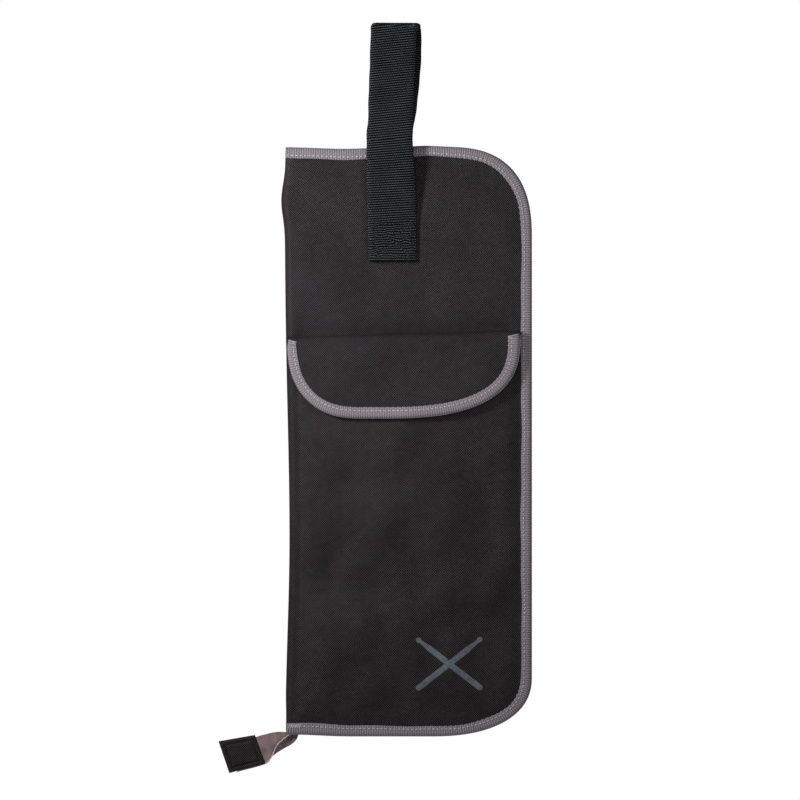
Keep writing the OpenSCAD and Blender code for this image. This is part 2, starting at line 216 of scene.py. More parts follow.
def sweep(name, rings, uvs, material, smooth_angle=50):
    """A closed solid through rings of points, (rings, points, 3), with flat ends."""
    rows, cols = rings.shape[:2]
    faces, spots = quads(rows, cols, wrap=True)
    corner_uvs = uvs.reshape(-1, 2)[spots].reshape(-1, 2)
    ends = [list(range(cols))[::-1], list(range((rows - 1) * cols, rows * cols))]
    end_uvs = np.concatenate([uvs[0, :cols][::-1], uvs[-1, :cols]])
    piece = mesh_piece(name, rings.reshape(-1, 3), faces.tolist() + ends,
                       np.concatenate([corner_uvs, end_uvs]), material, smooth_angle)
    fix_normals(piece)
    return piece


def grid_normals(points):
    """Unit normals of a grid of points."""
    along = np.gradient(points, axis=0)
    across = np.gradient(points, axis=1)
    normal = np.cross(across, along)
    return normal / np.maximum(np.linalg.norm(normal, axis=-1, keepdims=True), 1e-9)


def slab(name, face, under, uvs, material, turned=False, smooth_angle=50):
    """A closed sheet between two grids of points."""
    rows, cols = face.shape[:2]
    count = rows * cols
    top, spots = quads(rows, cols)
    index = np.arange(count).reshape(rows, cols)
    rim = np.concatenate([index[0, :-1], index[:-1, -1], index[-1, :0:-1], index[:0:-1, 0]])
    nxt = np.roll(rim, -1)
    faces = np.concatenate([top, top[:, ::-1] + count,
                            np.stack([rim, rim + count, nxt + count, nxt], 1)])
    flat = uvs.reshape(-1, 2)
    corner = flat[np.concatenate([spots, spots[:, ::-1], np.stack([rim, rim, nxt, nxt], 1)])]
    if turned:
        faces, corner = faces[:, ::-1], corner[:, ::-1]
    verts = np.concatenate([face.reshape(-1, 3), under.reshape(-1, 3)])
    return mesh_piece(name, verts, faces.tolist(), corner.reshape(-1, 2), material, smooth_angle)


def cloth(name, points, uvs, thickness, material):
    """A closed sheet of that thickness under a grid of points; a minus sign turns it over."""
    under = points - grid_normals(points) * thickness
    return slab(name, points, under, uvs, material, thickness < 0)


def lengths(points):
    """Distance along a row of points, from 0."""
    steps = np.linalg.norm(np.diff(points, axis=0), axis=1)
    return np.concatenate([[0], np.cumsum(steps)])


def resample(points, distances):
    """Points at those distances along a row of points."""
    at = lengths(points)
    return np.stack([np.interp(distances, at, points[:, i]) for i in range(points.shape[1])], 1)


def smooth_line(points, count):
    """A Catmull-Rom curve through a few points, at count even steps."""
    p = np.array(points, float)
    p = np.concatenate([[2 * p[0] - p[1]], p, [2 * p[-1] - p[-2]]])
    fine = []
    for i in range(1, len(p) - 2):
        t = np.linspace(0, 1, 24, endpoint=False)[:, None]
        a, b, c, d = p[i - 1], p[i], p[i + 1], p[i + 2]
        fine.append(0.5 * (2 * b + (c - a) * t + (2 * a - 5 * b + 4 * c - d) * t**2
                           + (3 * b - a - 3 * c + d) * t**3))
    fine = np.concatenate([*fine, p[-2:-1]])
    return resample(fine, np.linspace(0, lengths(fine)[-1], count))


# ---- Materials --------------------------------------------------------------------------------


class Look:
    """A material's node tree, with short calls for the nodes that the looks share."""

    def __init__(self, name, roughness, specular=0.2, metallic=0.0, sheen=0.0):
        self.material = bpy.data.materials.new(name)
        self.material.use_nodes = True
        self.tree = self.material.node_tree
        self.shader = self.tree.nodes["Principled BSDF"]
        for socket, value in (("Roughness", roughness), ("Specular IOR Level", specular),
                              ("Metallic", metallic), ("Sheen Weight", sheen)):
            self.shader.inputs[socket].default_value = value
        uv = self.tree.nodes.new("ShaderNodeUVMap")
        uv.uv_map = "metric"
        self.uv = uv.outputs[0]
        split = self.tree.nodes.new("ShaderNodeSeparateXYZ")
        self.tree.links.new(self.uv, split.inputs[0])
        self.u, self.v = split.outputs[0], split.outputs[1]

    def put(self, value, socket):
        if isinstance(value, bpy.types.NodeSocket):
            self.tree.links.new(value, socket)
        else:
            socket.default_value = value

    def math(self, operation, a, b=0.0, c=0.0):
        node = self.tree.nodes.new("ShaderNodeMath")
        node.operation = operation
        for value, socket in zip((a, b, c), node.inputs):
            self.put(value, socket)
        return node.outputs[0]

    def add(self, a, b):
        return self.math("ADD", a, b)

    def times(self, a, b, plus=None):
        """a times b, and plus something where it is given."""
        return self.math("MULTIPLY", a, b) if plus is None else self.math("MULTIPLY_ADD", a, b, plus)

    def wave(self, value, period, phase=0.0):
        """A sine of a length in millimetres."""
        return self.math("SINE", self.times(value, 2 * PI / period, phase))

    def noise(self, size, detail=2.0, stretch=(1.0, 1.0)):
        """Noise from 0 to 1 with features of that size in millimetres."""
        scaled = self.tree.nodes.new("ShaderNodeVectorMath")
        scaled.operation = "MULTIPLY"
        self.tree.links.new(self.uv, scaled.inputs[0])
        scaled.inputs[1].default_value = (stretch[0] / size, stretch[1] / size, 1)
        node = self.tree.nodes.new("ShaderNodeTexNoise")
        node.inputs["Scale"].default_value = 1
        node.inputs["Detail"].default_value = detail
        self.tree.links.new(scaled.outputs[0], node.inputs["Vector"])
        return node.outputs[0]

    def fade(self, value, low, high):
        """0 below low, 1 above high."""
        node = self.tree.nodes.new("ShaderNodeMapRange")
        node.interpolation_type = "SMOOTHSTEP"
        self.put(value, node.inputs[0])
        node.inputs[1].default_value = low
        node.inputs[2].default_value = high
        return node.outputs[0]

    def colour(self, share, dark, light):
        node = self.tree.nodes.new("ShaderNodeMix")
        node.data_type = "RGBA"
        self.put(share, node.inputs[0])
        node.inputs[6].default_value = (*dark, 1)
        node.inputs[7].default_value = (*light, 1)
        self.tree.links.new(node.outputs[2], self.shader.inputs["Base Color"])

    def rough(self, value):
        self.tree.links.new(value, self.shader.inputs["Roughness"])

    def shine(self, share, level):
        """Gloss that grows with a share from 0 to 1, so that gaps between yarns stay dull."""
        self.tree.links.new(self.times(share, level), self.shader.inputs["Specular IOR Level"])

    def bump(self, height, distance, strength=1.0):
        """Bump of a height from 0 to 1, over a distance in millimetres."""
        node = self.tree.nodes.new("ShaderNodeBump")
        node.inputs["Distance"].default_value = distance * MM
        node.inputs["Strength"].default_value = strength
        self.put(height, node.inputs["Height"])
        self.tree.links.new(node.outputs[0], self.shader.inputs["Normal"])


def woven(name, dark, light, cell, depth, roughness=0.6, specular=0.35):
    """Plain weave: a checker of raised yarns with uneven yarns and soft patches of tone."""
    look = Look(name, roughness)
    checker = look.times(look.wave(look.u, cell), look.wave(look.v, cell))
    grain = look.noise(cell * 0.9, 2)
    uneven = look.noise(6, 2)
    patch = look.noise(55, 2)
    yarn = look.times(checker, 0.5, 0.39)
    yarn = look.math("MAXIMUM", look.times(grain, 0.22, yarn), 0.0)
    tone = look.add(look.times(uneven, 0.5), look.times(patch, 0.7))
    share = look.times(look.math("POWER", yarn, 2), look.add(tone, 0.4))
    look.colour(share, dark, light)
    look.shine(share, specular)
    look.rough(look.times(patch, 0.16, roughness - 0.08))
    look.bump(yarn, depth)
    return look.material


def ribbed(name, dark, light, pitch, depth, dash, roughness=0.7, specular=0.2, power=1.0, gap=0.65):
    """Tape with weft ribs across it, V being along the tape, and dashes where the warp shows."""
    look = Look(name, roughness)
    rib = look.times(look.wave(look.v, pitch), 0.5, 0.5)
    row = look.math("FLOOR", look.math("DIVIDE", look.v, pitch))
    phase = look.times(look.math("MODULO", row, 2), PI)
    dashes = look.math("SINE", look.add(look.times(look.u, 2 * PI / dash), phase))
    yarn = look.times(rib, look.times(dashes, 1 - gap, gap))
    grain = look.noise(0.9, 2)
    patch = look.noise(14, 2)
    tone = look.add(look.times(grain, 0.5), look.times(patch, 0.7, 0.4))
    share = look.times(look.math("POWER", yarn, power), tone)
    look.colour(share, dark, light)
    look.shine(share, specular)
    look.bump(look.add(yarn, look.times(grain, 0.25)), depth)
    return look.material


def plain(name, dark, light, grain_size, depth, roughness, specular=0.3, metallic=0.0, sheen=0.0):
    """A material with fine grain and a little soft patchiness."""
    look = Look(name, roughness, specular=specular, metallic=metallic, sheen=sheen)
    grain = look.noise(grain_size, 3)
    patch = look.noise(grain_size * 14, 2)
    look.colour(look.times(grain, 0.6, look.times(patch, 0.4)), dark, light)
    look.rough(look.times(patch, 0.2, roughness - 0.1))
    look.bump(grain, depth)
    return look.material


def printed(name, ink, thin):
    """Screen ink that lets the weave under it show through in places."""
    look = Look(name, 0.6, specular=0.3)
    checker = look.times(look.wave(look.u, 1.7), look.wave(look.v, 1.7))
    cover = look.times(checker, 0.25, look.noise(2.5, 3))
    look.colour(look.fade(cover, 0.2, 0.7), thin, ink)
    look.bump(look.times(checker, 0.5, 0.5), 0.08)
    return look.material


SHELL = woven("shell_fabric", (0.0003, 0.0002, 0.0003), (0.066, 0.0550, 0.0610), 1.85, 0.15)
POCKET = woven("pocket_fabric", (0.001, 0.001, 0.001), (0.050, 0.045, 0.050), 1.5, 0.14)
LINING = woven("lining", (0.002, 0.002, 0.003), (0.045, 0.040, 0.046), 1.0, 0.05, roughness=0.4)
BINDING = ribbed("binding", (0.134, 0.119, 0.129), (0.328, 0.295, 0.318), RIB, 0.12, 2.4, gap=0.75)
STRAP = ribbed("webbing", (0.0010, 0.0012, 0.0012), (0.063, 0.069, 0.073), STRAP_RIB, 0.35, 1.93,
               roughness=0.45, specular=0.45, power=1.8, gap=0.77)
TAPE = ribbed("zipper_tape", (0.12, 0.084, 0.086), (0.46, 0.335, 0.34), 0.7, 0.08, 1.1)
TEETH = plain("zipper_teeth", (0.012, 0.012, 0.013), (0.030, 0.030, 0.032), 0.6, 0.02, 0.4)
METAL = plain("dark_nickel", (0.13, 0.13, 0.14), (0.22, 0.22, 0.23), 0.5, 0.01, 0.38, metallic=1.0)
FUZZ = plain("hook_and_loop", (0.004, 0.004, 0.005), (0.035, 0.034, 0.036), 0.7, 0.35, 0.95, sheen=0.2)
FOAM = plain("foam", (0.16, 0.16, 0.17), (0.36, 0.36, 0.37), 0.8, 0.25, 0.95)
BLACK_THREAD = plain("thread", (0.004, 0.005, 0.005), (0.026, 0.028, 0.029), 0.5, 0.08, 0.6, specular=0.15)
GREY_THREAD = plain("grey_thread", (0.34, 0.315, 0.33), (0.56, 0.52, 0.54), 0.5, 0.08, 0.6)
# Much lighter than the tape: a painted highlight for the raised line along the zipper tail's fold ridge
FOLD_HIGHLIGHT = plain("painted_fold_highlight", (0.50, 0.43, 0.43), (0.80, 0.70, 0.70), 0.5, 0.05, 0.6)
INK = printed("print", (0.130, 0.145, 0.170), (0.060, 0.066, 0.078))


# ---- Camera, stage and lights -----------------------------------------------------------------

VIEW_X, VIEW_Z = 4.7, -296
VIEW_DISTANCE, VIEW_WIDTH = 2400, 632
SENSOR = 36


def make_camera():
    data = bpy.data.cameras.new("camera")
    data.sensor_width = SENSOR
    data.lens = SENSOR * VIEW_DISTANCE / VIEW_WIDTH
    camera = bpy.data.objects.new("camera", data)
    camera.location = (VIEW_X * MM, (FRONT_FACE - VIEW_DISTANCE) * MM, VIEW_Z * MM)
    camera.rotation_euler = (PI / 2, 0, 0)
    bpy.context.scene.collection.objects.link(camera)
    bpy.context.scene.camera = camera


def white_to_camera(tree, lighting, output):
    """Pure white where the camera looks straight at it, and its own shader for the lighting."""
    path = tree.nodes.new("ShaderNodeLightPath")
    white = tree.nodes.new("ShaderNodeEmission" if output.inputs[0].name == "Surface"
                           and output.bl_idname == "ShaderNodeOutputMaterial" else "ShaderNodeBackground")
    white.inputs["Strength"].default_value = 1.0
    white.inputs["Color"].default_value = (1, 1, 1, 1)
    mix = tree.nodes.new("ShaderNodeMixShader")
    tree.links.new(path.outputs["Is Camera Ray"], mix.inputs[0])
    tree.links.new(lighting.outputs[0], mix.inputs[1])
    tree.links.new(white.outputs[0], mix.inputs[2])
    tree.links.new(mix.outputs[0], output.inputs[0])


def make_stage():
    world = bpy.data.worlds.new("studio")
    bpy.context.scene.world = world
    world.use_nodes = True
    background = world.node_tree.nodes["Background"]
    background.inputs["Color"].default_value = (0.93, 0.96, 1.0, 1)
    background.inputs["Strength"].default_value = WORLD_STRENGTH
    white_to_camera(world.node_tree, background, world.node_tree.nodes["World Output"])

    mesh = bpy.data.meshes.new("floor")
    half, level = 6.0, FLOOR * MM
    mesh.from_pydata([(-half, -half, level), (half, -half, level), (half, half, level),
                      (-half, half, level)], [], [(0, 1, 2, 3)])
    floor = bpy.data.objects.new("floor", mesh)
    bpy.context.scene.collection.objects.link(floor)
    pale = bpy.data.materials.new("pale_floor")
    pale.use_nodes = True
    shader = pale.node_tree.nodes["Principled BSDF"]
    shader.inputs["Base Color"].default_value = (0.8, 0.8, 0.8, 1)
    shader.inputs["Roughness"].default_value = 0.9
    white_to_camera(pale.node_tree, shader, pale.node_tree.nodes["Material Output"])
    mesh.materials.append(pale)


def make_light(name, place, target, size, power, colour=(1, 1, 1)):
    data = bpy.data.lights.new(name, "AREA")
    data.shape = "RECTANGLE"
    data.size, data.size_y = size
    data.energy = power
    data.color = colour
    light = bpy.data.objects.new(name, data)
    light.location = place
    light.rotation_euler = (Vector(target) - Vector(place)).to_track_quat("-Z", "Y").to_euler()
    bpy.context.scene.collection.objects.link(light)


FLOOR = -760
WORLD_STRENGTH = 0.08

make_camera()
make_stage()
make_light("softbox", (0.05, -0.42, -0.24), (0.05, 0, -0.24), (0.28, 0.28), 0.68)
make_light("key", (-0.55, -0.45, -0.02), (0, 0, 0.0), (0.15, 0.15), 6.9)
make_light("behind", (0.3, 1.5, 0.5), (0, 0, -0.3), (1.0, 1.0), 14)
bpy.context.scene.view_settings.view_transform = "Standard"


# ---- The covers' outline and faces ------------------------------------------------------------

def round_corner(turn, corner):
    """A corner's curve about its centre, from its vertical end at 0 to its level end at a quarter turn."""
    width, height, fullness = corner
    power = 2 / fullness
    return width * np.cos(turn) ** power, height * np.sin(turn) ** power


def make_outline():
    """The covers' edge from the top left corner round to the bottom left, in steps of half a mm."""
    turn = np.linspace(0, PI / 2, 400)
    tx, tz = round_corner(turn[::-1], TOP_CORNER)
    bx, bz = round_corner(turn, BOTTOM_CORNER)
    top_arc = np.stack([RIGHT - TOP_CORNER[0] + tx, TOP - TOP_CORNER[1] + tz], 1)
    bottom_arc = np.stack([RIGHT - BOTTOM_CORNER[0] + bx, BOTTOM + BOTTOM_CORNER[1] - bz], 1)
    line = np.concatenate([[[EDGE_START, TOP]], top_arc, bottom_arc, [[EDGE_START, BOTTOM]]])
    ends = [lengths(line)[i] for i in (0, 1, 400, 401, 800, -1)]
    line = resample(line, np.linspace(0, ends[-1], int(ends[-1] * 2)))
    ahead = heading(line)
    return line, np.stack([ahead[:, 1], -ahead[:, 0]], 1), np.array(ends)


OUTLINE, INWARD, CORNERS = make_outline()
EDGE_LENGTH = CORNERS[-1]


def edge(s):
    """Points on a cover's edge and the way into the cover, s along it from the top left corner."""
    at = np.clip(np.asarray(s, float) / EDGE_LENGTH, 0, 1) * (len(OUTLINE) - 1)
    index = np.arange(len(OUTLINE))
    return tuple(np.stack([np.interp(at, index, line[:, i]) for i in (0, 1)], -1)
                 for line in (OUTLINE, INWARD))


def edge_points(s, inset, y):
    """Points in space at an inset from the covers' edge."""
    at, inward = edge(s)
    flat = at + inward * np.asarray(inset)[..., None]
    return np.stack([flat[..., 0], np.broadcast_to(y, flat.shape[:-1]), flat[..., 1]], -1)


def edge_distance(x, z):
    """How far a point lies inside the covers' outline, leaving out the spine side."""
    d = np.minimum(np.minimum(RIGHT - x, TOP - z), z - BOTTOM)
    for (width, height, fullness), rise in ((TOP_CORNER, z - TOP), (BOTTOM_CORNER, BOTTOM - z)):
        dx, dz = x - (RIGHT - width), rise + height
        share = (np.maximum(dx, 0) / width) ** fullness + (np.maximum(dz, 0) / height) ** fullness
        share = np.maximum(share, 1e-6) ** (1 / fullness)
        d = np.where((dx > 0) & (dz > 0), np.minimum(d, np.hypot(dx, dz) * (1 / share - 1)), d)
    return d


def cover_span(x, inset):
    """Lowest and highest z of the covers' outline at x."""
    x = np.asarray(x, float)
    rise = []
    for width, height, fullness in (BOTTOM_CORNER, TOP_CORNER):
        share = np.clip((x - (RIGHT - width)) / (width - inset), 0, 1)
        rise.append(height - (height - inset) * (1 - share**fullness) ** (1 / fullness))
    return BOTTOM + rise[0], TOP - rise[1]


def cover_columns(x_start, inset, step=2.0):
    """X values for the columns of a cover's sheet, closer together round the right corners."""
    end = RIGHT - inset
    bend = RIGHT - max(TOP_CORNER[0], BOTTOM_CORNER[0])
    straight = np.linspace(x_start, bend, max(2, int((bend - x_start) / step)), endpoint=False)
    t = np.linspace(0, PI / 2, 52)
    return np.concatenate([straight, bend + (end - bend) * np.sin(t)])


def fold_z(x):
    """Height of the flap's sloping fold."""
    return FOLD + (x - FLAP_MIDDLE) * math.tan(FLAP_SLOPE)


def front_y(x, z):
    """The front cover's fabric, softly crowned by its foam, with a valley where the flap is sewn."""
    d = np.minimum(edge_distance(x, z), x - LEFT + 6)
    crown = 1.0 * (1 - np.exp(-np.maximum(d - 8, 0) / 14))
    inner = ease((d - 9) / 14)
    dents = 0.34 * waves(3, 85, x, z) + 0.16 * waves(4, 34, x, z)
    above = z - fold_z(x)
    valley = 2.6 * hump(above, 0, 7) + 0.8 * hump(above, 0, 24)
    strap = 0.9 * ease((24 - np.abs(x + 1.6)) / 8) * ease((z + 196) / 10)
    return np.minimum(FRONT_FACE - crown - inner * dents + inner * valley + inner * strap, 4.8)


def back_y(x, z):
    """The back cover's fabric, crowned by its foam."""
    d = np.minimum(edge_distance(x, z), x - LEFT + 6)
    crown = 1.5 * (1 - np.exp(-np.maximum(d - 8, 0) / 12))
    inner = ease((d - 9) / 14)
    return BACK_FACE + crown + inner * (0.35 * waves(5, 95, x, z) + 0.15 * waves(6, 36, x, z))


# ---- Shell, linings and foam ------------------------------------------------------------------


def wrapped_sheet(name, face, x_wall, wall_inset, inset, radius, out, thickness, material):
    """A sheet over a cover's face that turns round the spine corner and runs to the spine's middle.

    face(x, z) is its Y, x_wall the spine's face, and out is -1 on the front half, 1 on the back.
    """
    columns = cover_columns(x_wall + radius, inset)
    turns = np.linspace(PI / 2, 0, 9)[:-1]
    steps = 110
    z_low, z_high = cover_span(columns, inset)
    share = np.linspace(0, 1, steps)[:, None]
    x_face, z_face = upright_grid(columns, z_low, z_high, steps)
    y_face = face(x_face, z_face)

    first = y_face[:, :1]
    z_edge = z_face[:, :1]
    tuck = ease(share * 14) * ease((1 - share) * 14)
    middle = (z_low[0] + z_high[0]) / 2
    z_wall = middle + (z_edge - middle) * (1 - wall_inset * 2 / (z_high[0] - z_low[0]))
    x_turn = x_wall + radius - radius * np.sin(turns)
    y_turn = first - out * radius * (1 - np.cos(turns))
    wall_end = first - out * radius
    share_wall = np.linspace(0, 1, 9)[:-1]
    y_wall = MIDDLE + (wall_end - MIDDLE) * share_wall
    bulged = x_wall - 0.9 * np.cos(share_wall * PI / 2) * tuck
    z_turn = z_edge + (z_wall - z_edge) * np.sin(turns)
    x_all = np.concatenate([bulged, np.broadcast_to(x_turn, z_turn.shape), x_face], 1)
    y_all = np.concatenate([y_wall, y_turn, y_face], 1)
    z_all = np.concatenate([np.broadcast_to(z_wall, y_wall.shape), z_turn, z_face], 1)
    points = np.stack([x_all, y_all, z_all], -1)
    u = lengths(points[steps // 2])
    uvs = np.stack([np.broadcast_to(u, z_all.shape), z_all], -1)
    return cloth(name, settle(points), uvs, thickness, material), u[-1]


def fold_blend(piece, spine_first, y_face):
    """Bakes the transform of a cloth that crosses a spine corner into its mesh."""
    if spine_first:
        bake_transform(piece)
    else:
        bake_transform(piece)


def make_covers():
    """Each cover's shell and lining; the front ones meet the back ones in the spine's middle."""
    def lining_y(level, seed):
        return lambda x, z: level + 0.25 * waves(seed, 60, x, z) * ease((edge_distance(x, z) - 8) / 12)

    shell = (LEFT, 1.5, 1.2, 5.5)
    inner = (SPINE_LINING, 2.5, 1.6, 2.5)
    sheets = (("front", "shell", front_y, FRONT_FACE, shell, -1, 0.9),
              ("back", "shell", back_y, BACK_FACE, shell, 1, -0.9),
              ("front", "inner_lining", lining_y(FRONT_INSIDE, 7), FRONT_INSIDE, inner, -1, -0.6),
              ("back", "inner_lining", lining_y(BACK_INSIDE, 8), BACK_INSIDE, inner, 1, 0.6))
    for side, kind, face, level, wall, out, thickness in sheets:
        material, slot, ending = ((SHELL, "shell_fabric", "panel") if kind == "shell"
                                  else (LINING, "lining", "lining"))
        piece, width = wrapped_sheet(f"{side}_{kind}", face, *wall, out, thickness, material)
        dress(piece, slot, None, f"{side}_{ending}", f"spine_{ending}")
        fold_blend(piece, side == "front", level)


def make_foam(side, near, far):
    """A foam sheet with soft edges between a cover's fabric and its lining."""
    x_start, inset = LEFT + 10, 3.0
    columns = np.linspace(x_start, RIGHT - inset, 60)
    x, z = upright_grid(columns, *cover_span(columns, inset), 90)
    rim = ease(np.minimum(edge_distance(x, z) - inset, x - x_start) / 3)
    y_near = near(x, z)
    mid = (y_near + far) / 2
    half = (y_near - far) / 2 * (0.25 + 0.75 * rim)
    faces = [settle(np.stack([x, y, z], -1)) for y in (mid + half, mid - half)]
    piece = slab(f"{side}_foam", *faces, np.stack([x, z], -1), FOAM, half.max() < 0, 60)
    dress(piece, "foam", "bag_" + side, f"{side}_padding")


# ---- Bindings and their stitches --------------------------------------------------------------

def binding_profile(face, inner, out, width, leg):
    """The section of a folded tape as insets and Ys, outside first and then back along the inside."""
    outside = [(width, face + out * 0.05), (width - 0.1, face + out * 0.75), (width - 1.2, face + out * 0.95),
               (width - 2.6, face + out * 0.72), (width * 0.45, face + out * 1.0), (2.0, face + out * 0.75),
               (0.7, face - out * 0.1), (0.0, face - out * 1.6), (0.0, inner + out * 1.4),
               (0.7, inner + out * 0.2), (2.0, inner - out * 0.65), (leg * 0.5, inner - out * 0.95),
               (leg - 2.6, inner - out * 0.72), (leg - 1.0, inner - out * 0.85), (leg, inner - out * 0.6)]
    inside = [(leg, inner - out * 0.05), (2.2, inner - out * 0.1), (1.0, inner + out * 0.9),
              (0.7, face - out * 1.8), (1.0, face - out * 0.7), (2.2, face + out * 0.1)]
    return np.array(outside), np.array(inside)


def tape_along(name, s, section, body, place):
    """Sweeps a folded tape's section along an edge; its ribs are real ridges."""
    outside, inside = section
    ring = np.concatenate([outside, inside])
    step = np.roll(ring, -1, 0) - np.roll(ring, 1, 0)
    normal = unit(np.stack([step[:, 1], -step[:, 0]], 1))
    if np.sum((ring - ring.mean(0)) * normal) < 0:
        normal = -normal
    lift = np.zeros(len(ring))
    lift[1:len(outside) - 1] = RIB_HEIGHT
    ridge = np.sin(np.arange(len(s)) * PI / 2)
    rings = []
    for i, at in enumerate(s):
        shifted = ring + normal * (lift * ridge[i])[:, None]
        rings.append(place(np.full(len(ring), at), shifted[:, 0], shifted[:, 1]))
    around = lengths(np.concatenate([ring, ring[:1]]))
    piece = sweep(name, settle(rings), tape_uvs(around, np.asarray(s)), BINDING, 70)
    return dress(piece, "binding", body)


def stitches(name, line, normals, body, material=None, length=2.5, gap=0.9, width=0.8, sink=0.1):
    """A row of stitches along a line of points, black unless a material is given."""
    line, normals = np.asarray(line, float), np.asarray(normals, float)
    if normals.ndim == 1:
        normals = np.broadcast_to(normals, line.shape)
    at = lengths(line)
    starts = np.arange(gap / 2, at[-1] - length, length + gap)
    verts, faces = [], []
    around, along = 6, 5
    for start in starts:
        spots = start + length * np.linspace(0, 1, along)
        middle = resample(line, spots)
        up = np.stack([np.interp(spots, at, normals[:, i]) for i in range(3)], 1)
        up = unit(up)
        side = np.cross(heading(middle), up)
        swell = np.sin(np.linspace(0.16, PI - 0.16, along))[:, None] ** 0.5
        middle = middle + up * (width * 0.5 * swell - sink - (1 - swell) * width)
        base = len(verts)
        for k in range(along):
            for a in np.arange(around) * 2 * PI / around:
                verts.append(middle[k] + (side[k] * math.cos(a) + up[k] * 0.7 * math.sin(a))
                             * width / 2 * swell[k])
        for k in range(along - 1):
            for j in range(around):
                n = (j + 1) % around
                faces.append([base + k * around + j, base + k * around + n,
                              base + (k + 1) * around + n, base + (k + 1) * around + j])
        faces.append([base + j for j in range(around)][::-1])
        faces.append([base + (along - 1) * around + j for j in range(around)])
    verts = np.array(verts)
    flat = [i for face in faces for i in face]
    piece = mesh_piece(name, verts, faces, verts[flat][:, [0, 2]], material or BLACK_THREAD, 80)
    fix_normals(piece)
    return dress(piece, "binding" if material else "thread", body)


def make_bindings():
    s = np.arange(0, EDGE_LENGTH, RIB_STEP)
    fine = np.arange(0.5, EDGE_LENGTH - 0.5, 0.8)
    sides = (("front", FRONT_FACE, FRONT_INSIDE, -1), ("back", BACK_FACE, BACK_INSIDE, 1))
    for side, face, inner, out in sides:
        def place(at, inset, y, out=out):
            """The tape's legs pucker a little where it turns a corner, and its width wanders."""
            in_corner = (ease((at - CORNERS[1]) / 12) * ease((CORNERS[2] - at) / 12)
                         + ease((at - CORNERS[3]) / 12) * ease((CORNERS[4] - at) / 12))
            wander = 0.35 * np.sin(at / 23) + 0.25 * np.sin(at / 7.3 + 1)
            wider = 1.2 * ease((at - EDGE_LENGTH + 70) / 60) - 1.4
            reach = np.clip(inset / BINDING_WIDTH, 0, 1)
            pucker = in_corner * np.sin(at * 2 * PI / 4.6) * reach**2
            points = edge_points(at, inset + (wander + wider + 0.25 * pucker) * reach, y)
            over_pocket = ease((MOUTH - points[..., 2]) / 6) * ease(inset / 2.5) * ease(5 - y)
            points[..., 1] += out * 0.16 * pucker - 0.8 * over_pocket
            return points

        section = binding_profile(face, inner, out, BINDING_WIDTH, BINDING_WIDTH - 2)
        piece = tape_along(side + "_edge_tape", s, section, "bag_" + side, place)
        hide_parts(side + "_binding")
        row = settle(place(fine, np.full(len(fine), BINDING_WIDTH - 2.7), face + out * 0.78))
        stitches(side + "_edge_stitches", row, (0, out, 0), "bag_" + side, GREY_THREAD, sink=-0.05)
        row = settle(place(fine, np.full(len(fine), BINDING_WIDTH - 4.7), inner - out * 0.78))
        stitches(side + "_inner_edge_stitches", row, (0, -out, 0), "bag_" + side, GREY_THREAD)
        zig = np.arange(12)
        row = settle(place(EDGE_LENGTH - 1.8 - zig * 0.9, 5.9 + 3.0 * (zig % 2), face + out * 0.95))
        tack = tube(side + "_edge_bar_tack", resample(row, np.linspace(0, lengths(row)[-1], 90)), 0.33,
                    GREY_THREAD, "binding")
        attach(tack, "bag_" + side)


# ---- Zipper -----------------------------------------------------------------------------------

ZIP_INSET = 5
TOOTH_PITCH = 1.5


def distance_at(x):
    """How far along the top edge that X is."""
    return x - EDGE_START


def make_zipper_tape(side, out):
    """A tape's half, standing between a cover's binding and its row of teeth."""
    face = FRONT_INSIDE + 0.2 if side == "front" else BACK_INSIDE - 0.2
    reach = abs(MIDDLE - face) - 1.6
    notch_reach = abs(face - SLIDER_FACE) - 0.9
    s = np.arange(distance_at(TAPE_START) + 0.2, EDGE_LENGTH - 0.5, 1.4)
    notch = np.zeros(len(s))
    if side == "front":
        notch = ease((distance_at(SLIDER_END) - s + 1.0) / 1.5)
    rings = []
    thick = 0.35
    for i, at in enumerate(s):
        long = reach + (notch_reach - reach) * notch[i]
        wave = 0.22 * math.sin(at / 9.0) + 0.15 * math.sin(at / 3.7)
        spots = np.array([0, 0.3, 0.6, 0.85, 1.0])
        y = face - out * long * spots
        drift = wave * np.sin(spots * PI)
        inset = np.concatenate([ZIP_INSET - thick + drift, (ZIP_INSET + thick + drift)[::-1]])
        rings.append(edge_points(np.full(len(inset), at), inset, np.concatenate([y, y[::-1]])))
    rings = settle(np.array(rings))
    across = np.array([0, 0.3, 0.6, 0.85, 1.0, 1.1, 1.25, 1.5, 1.8, 2.1, 2.2]) * reach
    piece = sweep(side + "_zipper_tape", rings, tape_uvs(across, s), TAPE)
    dress(piece, "zipper_tape", "bag_" + side, "zipper_tape_" + side)
    for name, inset, sense in (("outer", ZIP_INSET - thick, -1), ("inner", ZIP_INSET + thick, 1)):
        at = s[(s > distance_at(SLIDER_END) + 2) & (s < EDGE_LENGTH - 14)]
        line = edge_points(at, np.full(len(at), inset), face - out * (reach - 1.6))
        _, inward = edge(at)
        normals = np.stack([inward[:, 0] * sense, np.zeros(len(at)), inward[:, 1] * sense], -1)
        stitches(f"{side}_zipper_{name}_stitches", settle(line), normals, "bag_" + side,
                 length=1.5, width=0.4)


